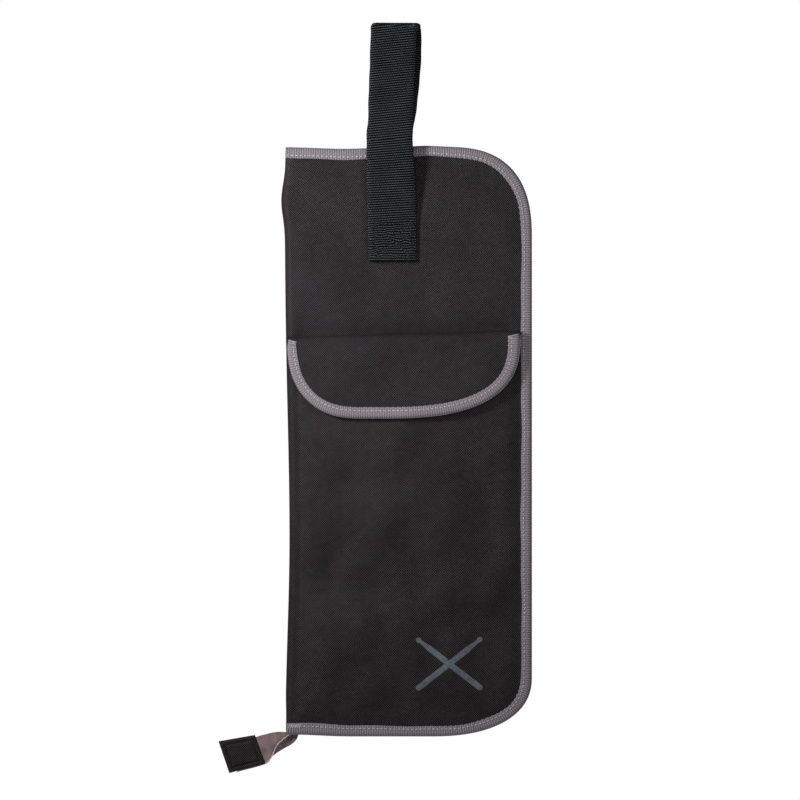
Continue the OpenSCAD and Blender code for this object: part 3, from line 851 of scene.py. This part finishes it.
def make_coil(side, out):
    """A row of teeth: one thread of nylon wound into a flat spiral along the tape."""
    start = COIL_START if side == "back" else SLIDER_END
    s0, s1 = distance_at(start) + 0.5, EDGE_LENGTH - 16
    turns = int((s1 - s0) / TOOTH_PITCH)
    per_turn = 10
    angle = np.linspace(0, turns * 2 * PI, turns * per_turn + 1)
    shift = PI if side == "back" else 0
    s = s0 + angle / (2 * PI) * TOOTH_PITCH
    y = MIDDLE + out * 1.55 - out * 1.75 * np.cos(angle + shift)
    inset = ZIP_INSET + 0.85 * np.sin(angle + shift)
    line = settle(edge_points(s, inset, y))
    ahead = heading(line)
    core = settle(edge_points(s, np.full(len(s), ZIP_INSET), MIDDLE + out * 1.55))
    side_way = line - core
    side_way -= ahead * np.sum(side_way * ahead, axis=1, keepdims=True)
    side_way = unit(side_way)
    up = np.cross(ahead, side_way)
    radius = 0.33
    ring = np.arange(6) * PI / 3
    rings = (line[:, None] + radius * (side_way[:, None] * np.cos(ring)[None, :, None]
                                       + up[:, None] * np.sin(ring)[None, :, None]))
    piece = sweep(side + "_zipper_teeth", rings, tape_uvs(np.arange(7) * radius, s), TEETH, 80)
    dress(piece, "zipper_teeth", "bag_" + side, "zipper_coil_" + side)


def softened(node, body, width, name):
    """A metal piece with the CAD node's own shape and softly rounded edges."""
    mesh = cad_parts[node].data.copy()
    mesh.materials.clear()
    bm = bmesh.new()
    bm.from_mesh(mesh)
    bmesh.ops.remove_doubles(bm, verts=bm.verts, dist=0.00001)
    bmesh.ops.dissolve_limit(bm, angle_limit=math.radians(2), verts=bm.verts, edges=bm.edges)
    sharp = [e for e in bm.edges if len(e.link_faces) == 2 and e.calc_face_angle(0) > math.radians(50)]
    bmesh.ops.bevel(bm, geom=sharp, offset=width * MM, segments=3, profile=0.5, affect="EDGES",
                    clamp_overlap=True)
    bmesh.ops.triangulate(bm, faces=[f for f in bm.faces if len(f.verts) > 4])
    # Triangulate lists its faces in a different order on each run
    bm.verts.index_update()
    ranked = sorted(bm.faces, key=lambda face: sorted(vert.index for vert in face.verts))
    rank = {face: place for place, face in enumerate(ranked)}
    bm.faces.sort(key=lambda face: rank[face])
    uv = bm.loops.layers.uv.verify()
    for face in bm.faces:
        for loop in face.loops:
            co = loop.vert.co / MM
            loop[uv].uv = (co.x + co.y * 0.7, co.z + co.y * 0.7)
    bm.to_mesh(mesh)
    bm.free()
    mesh.uv_layers[0].name = "metric"
    dress(new_object(name, mesh, METAL, 35), "metal", body, node)


def make_zipper():
    for side, out in (("front", -1), ("back", 1)):
        make_zipper_tape(side, out)
        make_coil(side, out)
        softened("zipper_stop_" + side, "bag_" + side, 0.35, side + "_zipper_stop")
    softened("zipper_slider", "slider", 0.3, "slider_body")
    softened("zipper_pull", "pull", 0.25, "slider_pull")


# ---- Outer pocket -----------------------------------------------------------------------------

POCKET_LEFT = LEFT + 4.6
POCKET_STITCH = LEFT + 8.2
SEAM_HOLLOWS = ((-66, -433, 13, 1.2), (-74, -334, 12, 0.9), (-82, -391, 12, 0.8), (-72, -502, 12, 0.8))
SOFT_HOLLOWS = ((83, -488, 26, 0.9), (-6, -526, 26, 0.8), (20, -400, 34, 0.5), (60, -350, 24, 0.5))


def pocket_y(x, z):
    """The outer pocket's cloth, which swells between its seams and has soft hollows."""
    d = np.minimum(edge_distance(x, z) - 10.4, (x - POCKET_STITCH) * 1.4 + 1.2)
    lift = 4.7 * (1 - np.exp(-np.maximum(d, 0) / 26)) + 0.85
    groove = 0.55 * hump(x, POCKET_STITCH, 1.1)
    inner = ease(d / 26)
    dents = 1.4 * waves(11, 110, x, z) + 0.65 * waves(12, 46, x, z) + 0.09 * waves(13, 16, x, z)
    across = 1.3 * hump(z, -438 + 0.05 * x, 12) * ease((x + 30) / 45)
    upright = 2.2 * hump(x, -27, 21) * ease((-440 - z) / 40)
    hollow = sum(depth * np.exp(-((x - cx) ** 2 + ((z - cz) * 0.7) ** 2) / r**2)
                 for cx, cz, r, depth in SEAM_HOLLOWS + SOFT_HOLLOWS)
    seam_ripple = 0.22 * np.sin(z / 5.1 + 0.8 * np.sin(z / 17)) * hump(x, POCKET_STITCH + 5, 5)
    covered = ease((z + 335) / 30)
    creases = inner * (dents - across - upright) * (1 - 0.92 * covered)
    return front_y(x, z) - lift * (1 - 0.3 * covered) + groove + creases + hollow + seam_ripple


def draped(x, z, y_function):
    """Points of a cloth at X and Z, where its function puts them."""
    return settle(np.stack([x, y_function(x, z), z], -1))


def make_outer_pocket():
    inset = 6.0
    columns = cover_columns(POCKET_LEFT, inset, 1.6)
    x, z = upright_grid(columns, cover_span(columns, inset)[0], MOUTH, 150)
    piece = cloth("outer_pocket_cloth", draped(x, z, pocket_y), np.stack([x, z], -1), 0.7, SHELL)
    dress(piece, "shell_fabric", "bag_front", "outer_pocket_panel")

    x, z = np.broadcast_arrays(np.linspace(POCKET_LEFT + 2, RIGHT - BINDING_WIDTH - 1, 110),
                               np.linspace(MOUTH - 15, MOUTH + 0.3, 8)[:, None])
    hem = draped(x, z, lambda a, b: pocket_y(a, b) + 1.0)
    piece = cloth("outer_pocket_turned_hem", hem, np.stack([x, z], -1), 0.5, SHELL)
    dress(piece, "shell_fabric", "bag_front", "outer_pocket_hem")

    rows_of_thread = {"side": (np.full(200, POCKET_STITCH), np.linspace(BOTTOM + 12, MOUTH - 1, 200)),
                      "hem": (np.linspace(POCKET_STITCH + 2, RIGHT - 12, 200), np.full(200, MOUTH - 13))}
    for name, (x, z) in rows_of_thread.items():
        stitches(f"outer_pocket_{name}_stitches", draped(x, z, pocket_y), (0, -1, 0), "bag_front",
                 length=2.8, gap=0.8, width=0.6, sink=0.05)


def make_emblem():
    """A generic mark of two crossed drum sticks, printed on the pocket."""
    centre = (EMBLEM_LOW + EMBLEM_HIGH) / 2
    stick_length, lean = 66, math.radians(38)
    verts, faces, uvs = [], [], []
    along, across = 90, 7
    t = np.linspace(0, 1, along)
    shaft = 2.3 * np.clip(1 - (t - 0.78) / 0.17 * 0.5, 0.5, 1)
    butt = np.sqrt(np.clip(1 - ((0.035 - t) / 0.035) ** 2, 0, 1))
    half = np.where(t < 0.035, 2.3 * butt, shaft)
    bead = 2.15 * np.sqrt(np.clip(1 - ((t - 0.962) / 0.036) ** 2, 0, 1))
    half = np.where(t > 0.93, np.maximum(bead, np.where(t < 0.95, shaft, 0)), half)
    for layer, angle in enumerate((lean, PI - lean)):
        way = np.array([math.cos(angle), math.sin(angle)])
        side = np.array([-way[1], way[0]])
        flat = (np.array([centre.x, centre.z]) + (t[:, None, None] - 0.5) * stick_length * way
                + half[:, None, None] * np.linspace(-1, 1, across)[None, :, None] * side)
        base = len(verts)
        y = pocket_y(flat[..., 0], flat[..., 1]) - 0.10 - 0.05 * layer
        points = settle(np.stack([flat[..., 0], y, flat[..., 1]], -1))
        verts.extend(points.reshape(-1, 3).tolist())
        made, _ = quads(along, across, offset=base)
        faces.extend(made.tolist())
    verts = np.array(verts)
    index = [i for face in faces for i in face]
    piece = mesh_piece("crossed_sticks_print", verts, faces, verts[index][:, [0, 2]], INK)
    dress(piece, "print", "bag_front", "printed_emblem")


def make_strip(name, node, body, y_function, out, hooks):
    """Hook or loop tape: a soft backing with a field of small hooks or loops on it."""
    low, high = box_mm(node)
    x, z = np.broadcast_arrays(np.linspace(low.x, high.x, 40), np.linspace(low.z, high.z, 16)[:, None])
    piece = cloth(name, draped(x, z, y_function), np.stack([x, z], -1), -0.35 * out, FUZZ)
    dress(piece, "hook_and_loop", body, node)
    rng = np.random.RandomState(21 if hooks else 22)
    verts, faces = [], []
    pitch = 1.25
    for i, gx in enumerate(np.arange(low.x + 1, high.x - 0.8, pitch)):
        for gz in np.arange(low.z + 1, high.z - 0.8, pitch):
            gx2 = gx + rng.uniform(-0.2, 0.2)
            gz2 = gz + rng.uniform(-0.2, 0.2)
            root = settle(np.array([gx2, float(y_function(np.array(gx2), np.array(gz2))), gz2]))
            turn = rng.uniform(0, 2 * PI) if not hooks else (0 if i % 2 else PI)
            lean = np.array([math.cos(turn), 0, math.sin(turn)])
            away = np.array([0, out, 0])
            bend = np.linspace(0, 1.25 * PI if hooks else PI, 6)
            size = 0.34 if hooks else 0.42
            spine = [root + away * (0.1 + size * math.sin(b)) + lean * size * (1 - math.cos(b)) for b in bend]
            across = np.cross(away, lean) * 0.11
            start = len(verts)
            for p in spine:
                verts.extend([p + across, p + lean * 0.09 + away * 0.05, p - across])
            for k in range(len(spine) - 1):
                for j in range(3):
                    n = (j + 1) % 3
                    faces.append([start + k * 3 + j, start + k * 3 + n,
                                  start + (k + 1) * 3 + n, start + (k + 1) * 3 + j])
            faces.append([start, start + 1, start + 2])
            end = start + 3 * (len(spine) - 1)
            faces.append([end + 2, end + 1, end])
    verts = np.array(verts)
    index = [i for face in faces for i in face]
    pile = mesh_piece(name + ("_hooks" if hooks else "_loops"), verts, faces, verts[index][:, [0, 2]], FUZZ)
    fix_normals(pile)
    dress(pile, "hook_and_loop", body)


# ---- Flap -------------------------------------------------------------------------------------

FLAP_SECTION = ((3.9, 1.8), (2.9, 0.4), (0.9, -0.9), (-2.0, -1.1), (-4.5, 0.2), (-6.0, 3.0),
                (-6.7, 8), (-6.9, 16), (-6.9, 30), (-6.6, 48), (-6.1, 66))
LEFT_CURVE = (60, 57.7, 2.4)
RIGHT_CURVE = (110, 64.8, 2.7)


def flap_low(x, inset=0.0):
    """The flap's lower edge at x: a round corner at each end of a short level run."""
    low = FLAP_LOW.z + inset
    for (width, height, fullness), reach in ((LEFT_CURVE, FLAP_LOW.x + LEFT_CURVE[0] - x),
                                             (RIGHT_CURVE, x - FLAP_HIGH.x + RIGHT_CURVE[0])):
        share = np.clip(reach / (width - inset), 0, 1)
        low = low + (height - inset) * (1 - (1 - share**fullness) ** (1 / fullness))
    return low


SECTION = smooth_line(FLAP_SECTION, 240)
SECTION_AT = lengths(SECTION)
# The cloth rolls over the fold up to this point of its section, and hangs below it
ROLL = 40
ROLL_LENGTH, ROLL_DROP = SECTION_AT[ROLL], SECTION[ROLL, 1]
HANG = SECTION[ROLL:]


def flap_y(x, z):
    """The flap's outer face where it hangs, with soft dents that grow away from the fold."""
    drop = fold_z(x) - z
    y = np.interp(drop, HANG[:, 1], HANG[:, 0])
    free = ease(drop / 16)
    ends = 1.3 * hump(x, FLAP_LOW.x, 16) + 1.3 * hump(x, FLAP_HIGH.x, 14)
    dents = 0.45 * waves(15, 70, x, z) + 0.2 * waves(16, 30, x, z)
    curl = -1.6 * ease((drop - 34) / 30)
    return y + free * (dents + ends + curl)


def flap_sheet_points(inset, depth, rows=70, cols=130):
    """A grid over the flap, from the seam over the fold and down to its edge, depth behind its face."""
    x0, x1 = FLAP_LOW.x + inset, FLAP_HIGH.x - inset
    t = np.linspace(0, PI, cols)
    x = (x0 + x1) / 2 - (x1 - x0) / 2 * (0.75 * np.cos(t) + 0.25 * np.linspace(1, -1, cols))
    bottom = flap_low(x, inset)
    long = ROLL_LENGTH + (fold_z(x) - ROLL_DROP - bottom)
    share = np.linspace(0, 1, rows)[:, None]
    at = share * long
    rolled = at < ROLL_LENGTH
    y_roll = np.interp(at, SECTION_AT, SECTION[:, 0])
    drop_roll = np.interp(at, SECTION_AT, SECTION[:, 1])
    x_all = np.broadcast_to(x, at.shape)
    z = np.where(rolled, fold_z(x_all) - drop_roll, fold_z(x_all) - ROLL_DROP - (at - ROLL_LENGTH))
    y = np.where(rolled, y_roll, flap_y(x_all, z))
    rise = 0.5 * waves(17, 46, x_all, 0 * z)
    z = z + rise * ease((14 - at) / 14) * ease(at / 3)
    points = np.stack([x_all, y, z], -1)
    return points + grid_normals(points) * depth, np.stack([x_all, at], -1)


def flap_blend(piece):
    """Bakes the transform of the flap's cloth, which turns at its fold, into its mesh."""
    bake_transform(piece)


def make_flap():
    points, _ = flap_sheet_points(1.2, 0.0)
    side = 1 if grid_normals(points)[50, 60, 1] < 0 else -1
    layers = (("flap_cloth", 1.2, 0.0, 0.7, SHELL, "shell_fabric", ("flap_panel", "flap_seam_strip")),
              ("flap_inner_lining", 1.4, -side * 0.85, 0.5, LINING, "lining", ("flap_lining",)))
    for name, inset, depth, thickness, material, slot, nodes in layers:
        points, uvs = flap_sheet_points(inset, depth)
        piece = cloth(name, settle(points), uvs, side * thickness, material)
        dress(piece, slot, None, *nodes)
        flap_blend(piece)
    make_flap_binding()


def flap_edge_line():
    """The flap's edge, from the left end of its fold round to the right end."""
    x0, x1 = FLAP_LOW.x, FLAP_HIGH.x
    turn = np.linspace(0, PI / 2, 160)
    x, z = round_corner(turn, LEFT_CURVE)
    left_arc = np.stack([x0 + LEFT_CURVE[0] - x, FLAP_LOW.z + LEFT_CURVE[1] - z], 1)
    x, z = round_corner(turn[::-1], RIGHT_CURVE)
    right_arc = np.stack([x1 - RIGHT_CURVE[0] + x, FLAP_LOW.z + RIGHT_CURVE[1] - z], 1)
    line = np.concatenate([[[x0 + 1.0, fold_z(x0) - 0.8]], left_arc, right_arc,
                           [[x1 - 0.6, fold_z(x1) - 0.6]]])
    return resample(line, np.arange(0, lengths(line)[-1], RIB_STEP))


def make_flap_binding():
    line = flap_edge_line()
    ahead = heading(line)
    inward = np.stack([-ahead[:, 1], ahead[:, 0]], 1)
    at = lengths(line)
    width = 8.6

    def place(index, inset, y):
        i = int(index[0])
        reach = np.clip(inset / width, 0, 1)
        pucker = math.sin(at[i] * 2 * PI / 4.3) * 0.18 * ease(np.array((at[i] - 25) / 20))
        narrow = 1.03 - 0.22 * math.exp(-at[i] / 14) + 0.11 * math.exp(-(at[-1] - at[i]) / 40)
        flat = line[i] + inward[i] * (inset * narrow + pucker * reach**2)[:, None]
        face = flap_y(flat[:, 0], np.minimum(flat[:, 1], fold_z(flat[:, 0]) - ROLL_DROP - 0.5))
        return np.stack([flat[:, 0], face + y, flat[:, 1]], -1)

    section = binding_profile(0.0, 1.5, -1, width, width - 1)
    piece = tape_along("flap_edge_tape", np.arange(len(line)), section, None, place)
    uv = piece.data.uv_layers["metric"].data
    flat = np.zeros(len(uv) * 2, np.float32)
    uv.foreach_get("uv", flat)
    flat[1::2] *= RIB_STEP
    uv.foreach_set("uv", flat)
    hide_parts("flap_binding")
    flap_blend(piece)
    steps = np.arange(0, len(line), 3)
    for name, y, out, inset in (("front", -0.78, -1, width - 2.7), ("back", 2.3, 1, width - 3.4)):
        row = np.concatenate([place(np.array([i]), np.array([inset]), np.array([y])) for i in steps])
        flap_blend(stitches(f"flap_edge_{name}_stitches", settle(row), (0, out, 0), None, GREY_THREAD))


# ---- Handle -----------------------------------------------------------------------------------


def strap_line():
    """The webbing's centre line in Y and Z: up the back leg, round the top bend, down the front leg."""
    foot = SEWN_LOW.z
    lean = math.asin(STRAP_BEND / (STRAP_BEND + 79))
    bend = np.linspace(-lean, PI + lean, 40)
    top = np.stack([STRAP_BEND * np.cos(bend), -8 + STRAP_BEND * np.sin(bend)], 1)
    gap = STRAP_T / 2 + 0.06
    back = [(gap + 0.1, foot), (gap + 0.1, -160), (gap, -120), (gap, -92), (gap + 0.5, -84)]
    front = [(-gap - 0.5, -84), (-gap, -92), (-gap, -120), (-gap + 0.1, -160), (-gap + 0.1, foot)]
    line = smooth_line([*back, *top[1:-1:3], *front], 1200)
    line[:, 0] -= STRAP_LEAN * ease((line[:, 1] + 156) / 48) * ease((-8 - line[:, 1]) / 64)
    return line


STRAP_LEAN = 6.8
FRONT_SHIFT = ((-190, -1.6), (-150, -1.7), (-120, -2.6), (-92, -3.3), (-60, -2.4), (-30, -1.2),
               (-12, -0.6), (2, 0.8), (10, 1.2))
BACK_SHIFT = ((-190, -1.6), (-150, -1.7), (-120, -2.8), (-88, -3.5), (-75, -1.8), (-63, -0.4),
              (-30, 2.2), (-16, 2.7), (10, 2.6))


def strap_shift(z, points):
    """How far the webbing's middle stands from X 0: it leans a little, and its legs don't line up."""
    return np.interp(z, *smooth_line(points, 300).T)


def make_strap():
    line = strap_line()
    long = lengths(line)[-1]
    s = np.arange(0, long, STRAP_RIB / 4)
    path = resample(line, s)
    ahead = heading(path)
    out = np.stack([ahead[:, 1], -ahead[:, 0]], 1)
    share = ease((s / long - 0.46) / 0.08)
    shift = strap_shift(path[:, 1], BACK_SHIFT) * (1 - share) + strap_shift(path[:, 1], FRONT_SHIFT) * share
    half = (STRAP_HIGH.x - STRAP_LOW.x) / 2
    wide = np.concatenate([np.linspace(-1, 1, 21), np.linspace(1, -1, 21)[1:-1]])
    sign = np.concatenate([np.ones(21), -np.ones(19)])
    sign[0] = sign[20] = 0
    edge_round = (1 - np.abs(wide) ** 18) ** 0.5
    ridge = np.sin(s * 2 * PI / STRAP_RIB)
    thick = STRAP_T / 2 - 0.1
    tilt = 0.06 + 0.05 * share * ease((path[:, 1] + 130) / 60)
    tilt = tilt * ease((s[-1] - s) / 25) * ease(s / 25)
    front_narrow = 1.1 * ease((path[:, 1] + 100) / 30) * ease((3 - path[:, 1]) / 9)
    narrow = 0.9 * hump(path[:, 1], -92, 26) + share * front_narrow
    w = wide * (half - narrow + 0.12 * np.sin(s / 3.1) + 0.1 * np.sin(s / 11))[:, None]
    at = s[:, None] - tilt[:, None] * w
    sewn = ease((SEWN_HIGH.z + 2 - path[:, 1]) / 5)[:, None] * share[:, None]
    at = at + sewn * ease((s[-1] - s[:, None]) / 6) * 0.26 * waves(51, 7, w, s[:, None])
    row = np.floor(s / STRAP_RIB)[:, None] % 2
    warp = 0.05 * np.sin(w * 2 * PI / 3.86 + row * PI)
    h = sign * edge_round * (thick + 0.2 * ridge[:, None] + warp + sewn * 0.12 * waves(52, 5, w, s[:, None]))
    h = h + 0.15 * np.sin(s / 37)[:, None] * wide

    def along(values):
        return np.interp(at, s, values)

    rings = np.stack([along(shift) + w, along(path[:, 0]) + along(out[:, 0]) * h,
                      along(path[:, 1]) + along(out[:, 1]) * h], -1)
    around = np.concatenate([wide[:21] * half, 2 * half - wide[21:] * half, [3 * half]])
    piece = sweep("webbing_strap", rings, tape_uvs(around, s), STRAP, 70)
    dress(piece, "webbing", None, "handle_loop", "handle_sewn_end")
    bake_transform(piece)
    make_box_stitch()


def make_box_stitch():
    """The box with a cross in it that sews the webbing's end to the cover."""
    low, high = box_mm("handle_stitching")
    x0, x1 = low.x - 1.6, high.x - 1.6
    corners = [(x0, low.z), (x1, low.z), (x1, high.z), (x0, high.z), (x0, low.z), (x1, high.z)]
    runs = [*zip(corners[:-1], corners[1:]), ((x0, high.z), (x1, low.z))]
    face = -STRAP_T - 0.02
    made = []
    for a, b in runs:
        t = np.linspace(0, 1, 60)[:, None]
        flat = np.array(a) + (np.array(b) - np.array(a)) * t
        line = np.stack([flat[:, 0], np.full(60, face), flat[:, 1]], -1)
        made.append(stitches("run", line, (0, -1, 0), None, length=2.2, gap=0.7, sink=0.0))
    join(made, "handle_box_stitch", "bag_front", "handle_stitching")


def join(pieces, name, body, node):
    """Joins runs of stitches into one piece that rides on a body."""
    merged = bmesh.new()
    for piece in pieces:
        merged.from_mesh(piece.data)
    mesh = pieces[0].data
    merged.to_mesh(mesh)
    merged.free()
    keep = pieces[0]
    for piece in pieces[1:]:
        bpy.data.objects.remove(piece)
    keep.name = name
    dress(keep, "thread", body, node)


# ---- Zipper tail ------------------------------------------------------------------------------

TAIL_TOP = ((-74, 17.6, -557.5), (-85.8, 17.2, -559.6), (-96.2, 16.6, -560.1), (-110.7, 16.9, -564.1),
            (-124, 17.4, -568.3))
TAIL_FOLD = ((-77, 17.4, -559), (-84.2, 15.6, -562.5), (-88.8, 14.7, -566), (-93.3, 14.5, -570.6),
             (-101.3, 16.2, -583.9), (-122, 17.3, -588.2))
TAIL_LOW = ((-70, 19.0, -558.5), (-75.5, 18.8, -561.7), (-77.4, 18.6, -565.7), (-81.3, 18.4, -569.6),
            (-89.3, 18.0, -574.1), (-97.2, 17.8, -579.7), (-102.1, 17.8, -585.3), (-125.5, 17.8, -591.9))


# The tab's corners in X and Z: nearest the bag at its top and bottom, then its free end
TAB_CORNERS = ((-110.6, -562.2), (-102.2, -584.7), (-139.6, -567.3), (-131.0, -592.6))


def make_tail():
    """The joined tapes leave the corner folded on themselves and flatten towards the tab."""
    steps = 60
    top, fold, low = (smooth_line(rail, steps) for rail in (TAIL_TOP, TAIL_FOLD, TAIL_LOW))
    share = np.linspace(0, 1, 13)[None, :, None]
    upper = top[:, None] + (fold - top)[:, None] * share
    near_bag = ease((30 - np.arange(steps)) / 26)[:, None]
    upper[..., 1] += (1.8 * near_bag - 0.9) * np.sin(share[..., 0] * PI)
    lower = fold[:, None] + (low - fold)[:, None] * share
    lower[..., 1] += (0.4 + 1.3 * near_bag) * np.sin(share[..., 0] ** 0.5 * PI)
    points = np.concatenate([upper, lower[:, 1:]], 1)
    x, z = points[..., 0], points[..., 2]
    in_tab = ease((1.2 - 0.937 * (x + 110.6) - 0.35 * (z + 562.2)) / 2)
    points[..., 1] += 0.55 * waves(31, 10, x, z) * (1 - in_tab)
    points[..., 1] += (17.3 + 0.35 * ease((z + 590) / 4) - points[..., 1]) * in_tab
    across = np.stack([lengths(row) for row in points])
    along = np.broadcast_to(np.linspace(0, lengths(fold)[-1], steps)[:, None], across.shape)
    piece = cloth("zipper_tail_tape", points, np.stack([across, along], -1), -0.6, TAPE)
    dress(piece, "zipper_tape", None, "zipper_tail")
    tail_blend(piece)

    # A raised line on the fold's ridge, coloured far lighter than the tape: a painted highlight where the
    # fold catches the light
    ridge = points[:, 12] + np.array([0.1, -0.35, 0.1])
    thread = tube("zipper_tail_fold_highlight", ridge[4:-1][in_tab[4:-1, 12] < 0.6], 0.36, FOLD_HIGHLIGHT, "zipper_tape")
    tail_blend(thread)


def tail_blend(piece):
    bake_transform(piece)


def tube(name, line, radius, material, slot_name):
    """A round tube along a line, for a bar tack's thread and for the tail fold's painted highlight."""
    ahead = heading(line)
    side = unit(np.cross(ahead, (0, 1, 0)))
    up = np.cross(side, ahead)
    ring = np.arange(8) * PI / 4
    rings = line[:, None] + radius * (side[:, None] * np.cos(ring)[None, :, None]
                                      + up[:, None] * np.sin(ring)[None, :, None])
    piece = sweep(name, rings, tape_uvs(np.arange(9) * radius, lengths(line)), material, 80)
    return dress(piece, slot_name)


def make_tab():
    """A piece of fabric folded over the tail's end and sewn round."""
    near_top, near_low, far_top, far_low = np.array(TAB_CORNERS)

    def spot(u, v):
        return (near_top * (1 - u) + far_top * u) * (1 - v) + (near_low * (1 - u) + far_low * u) * v

    u = np.linspace(0, 1, 40)[None, :, None]
    v = np.linspace(0, 1, 30)[:, None, None]
    flat = spot(u, v)
    x, z = flat[..., 0], flat[..., 1]
    rim = np.minimum(np.minimum(u[..., 0], 1 - u[..., 0]) * 31, np.minimum(v[..., 0], 1 - v[..., 0]) * 26)
    puff = 1.5 * (1 - np.exp(-rim / 2.2)) + 0.9 * ease((rim + 0.3) / 1.0)
    seam = 1.15 * np.exp(-(((rim - 3.8) / 0.8) ** 2))
    soft = 0.28 * waves(33, 12, x, z) * ease((rim - 3) / 4)
    middle = 17.2 + 0.5 * np.sin(u[..., 0] * 2.2)
    near = np.stack([x, middle - puff + seam + soft, z], -1)
    far = np.stack([x, middle + puff - seam, z], -1)
    piece = slab("zipper_tail_tab", near, far, np.stack([x, z], -1), SHELL)
    fix_normals(piece)
    dress(piece, "shell_fabric", "tail", "zipper_end_tab")

    loop = ((0.12, 0.13), (0.88, 0.13), (0.88, 0.87), (0.12, 0.87), (0.12, 0.13))
    inner = np.array([spot(a, b) for a, b in loop])
    inner = resample(inner, np.linspace(0, lengths(inner)[-1], 120))
    line = np.stack([inner[:, 0], np.full(120, 15.95), inner[:, 1]], -1)
    stitches("zipper_tab_stitches", line, (0, -1, 0), "tail", length=1.9, gap=0.6, width=0.5)


# ---- Stick pockets ----------------------------------------------------------------------------


def make_stick_pockets(side, count, lining, out):
    """A row of flat pockets: cloth sewn to the lining along its dividers, standing open at the top."""
    x0, x1 = STICK_LOW.x + 0.4, STICK_HIGH.x - 0.4
    bottom, mouth = STICK_LOW.z, STICK_HIGH.z
    pitch = (x1 - x0) / count
    inset = 9

    def face(x, z):
        across = (x - x0) % pitch / pitch
        pillow = np.sin(np.clip(across, 0, 1) * PI) ** 0.55
        end = np.minimum(z - bottom, edge_distance(x, z) - inset)
        open_mouth = 0.62 + 0.38 * ease((z - bottom) / (mouth - bottom))
        low = ease(end / 26)
        soft = 0.35 * waves(41 + count, 48, x, z)
        return lining + out * (0.5 + (5.4 * open_mouth + soft) * pillow * low)

    x = np.linspace(x0, x1, count * 28 + 1)
    low, _ = cover_span(x, inset)
    x, z = upright_grid(x, np.maximum(low, bottom), mouth, 120)
    piece = cloth(f"{side}_stick_pockets", draped(x, z, face), np.stack([x, z], -1), -out * 0.6, POCKET)
    dress(piece, "pocket_fabric", "bag_" + side, "stick_pocket_" + side)

    hx = np.linspace(x0, x1, count * 28 + 1)
    section = np.array([(-9.5, 0.55), (-8.8, 0.8), (-4, 0.85), (0.2, 0.8), (0.9, 0.2), (0.9, -0.6),
                        (0.2, -1.2), (-4, -1.25), (-8.8, -1.2), (-9.5, -0.9), (-9.5, -0.5),
                        (-0.2, -0.55), (-0.2, 0.1), (-9.5, 0.1)])
    rings = []
    for at in hx:
        z = mouth + section[:, 0]
        y = face(np.full(len(section), at), np.full(len(section), mouth)) + out * section[:, 1]
        rings.append(np.stack([np.full(len(section), at), y, z], -1))
    around = lengths(np.concatenate([section, section[:1]]))
    hem = sweep(f"{side}_stick_pocket_tape", settle(rings), tape_uvs(around, hx), BINDING)
    dress(hem, "binding", "bag_" + side, f"stick_pocket_{side}_hem")

    made = []
    for k in range(count + 1):
        t = np.linspace(bottom + 2, mouth - 10.5, 160)
        xs = np.full(160, np.clip(x0 + k * pitch, x0 + 1.2, x1 - 1.2))
        keep = edge_distance(xs, t) > inset + 1
        line = settle(np.stack([xs, np.full(160, lining + out * 0.75), t], -1))[keep]
        made.append(stitches("run", line, (0, out, 0), None, length=2.8, gap=0.8))
    t = np.linspace(x0 + 2, RIGHT - BOTTOM_CORNER[0], 120)
    line = settle(np.stack([t, np.full(120, lining + out * 0.75), np.full(120, bottom + 1.6)], -1))
    made.append(stitches("run", line, (0, out, 0), None, length=2.8, gap=0.8))
    join(made, f"{side}_stick_pocket_stitches", "bag_" + side, f"stick_pocket_{side}_seams")

    y = face(hx, np.full(len(hx), mouth)) + out * 0.84
    row = settle(np.stack([hx, y, np.full(len(hx), mouth - 7.4)], -1))
    stitches(f"{side}_stick_tape_stitches", row, (0, out, 0), "bag_" + side, GREY_THREAD)


# ---- Build ------------------------------------------------------------------------------------

make_covers()
make_foam("front", lambda x, z: np.minimum(front_y(x, z) + 1.1, FRONT_INSIDE - 1.5), FRONT_INSIDE - 1.1)
make_foam("back", lambda x, z: back_y(x, z) - 1.1, BACK_INSIDE + 1.1)
make_bindings()
make_zipper()
make_outer_pocket()
make_emblem()
make_strip("pocket_loop_tape", "pocket_loop_strip", "bag_front",
           lambda x, z: pocket_y(x, z) - 0.15, -1, False)
make_flap()
make_strip("flap_hook_tape", "flap_hook_strip", "flap", lambda x, z: flap_y(x, z) + 2.2, 1, True)
make_strap()
make_tail()
make_tab()
make_stick_pockets("back", 3, BACK_INSIDE, -1)
make_stick_pockets("front", 2, FRONT_INSIDE, 1)
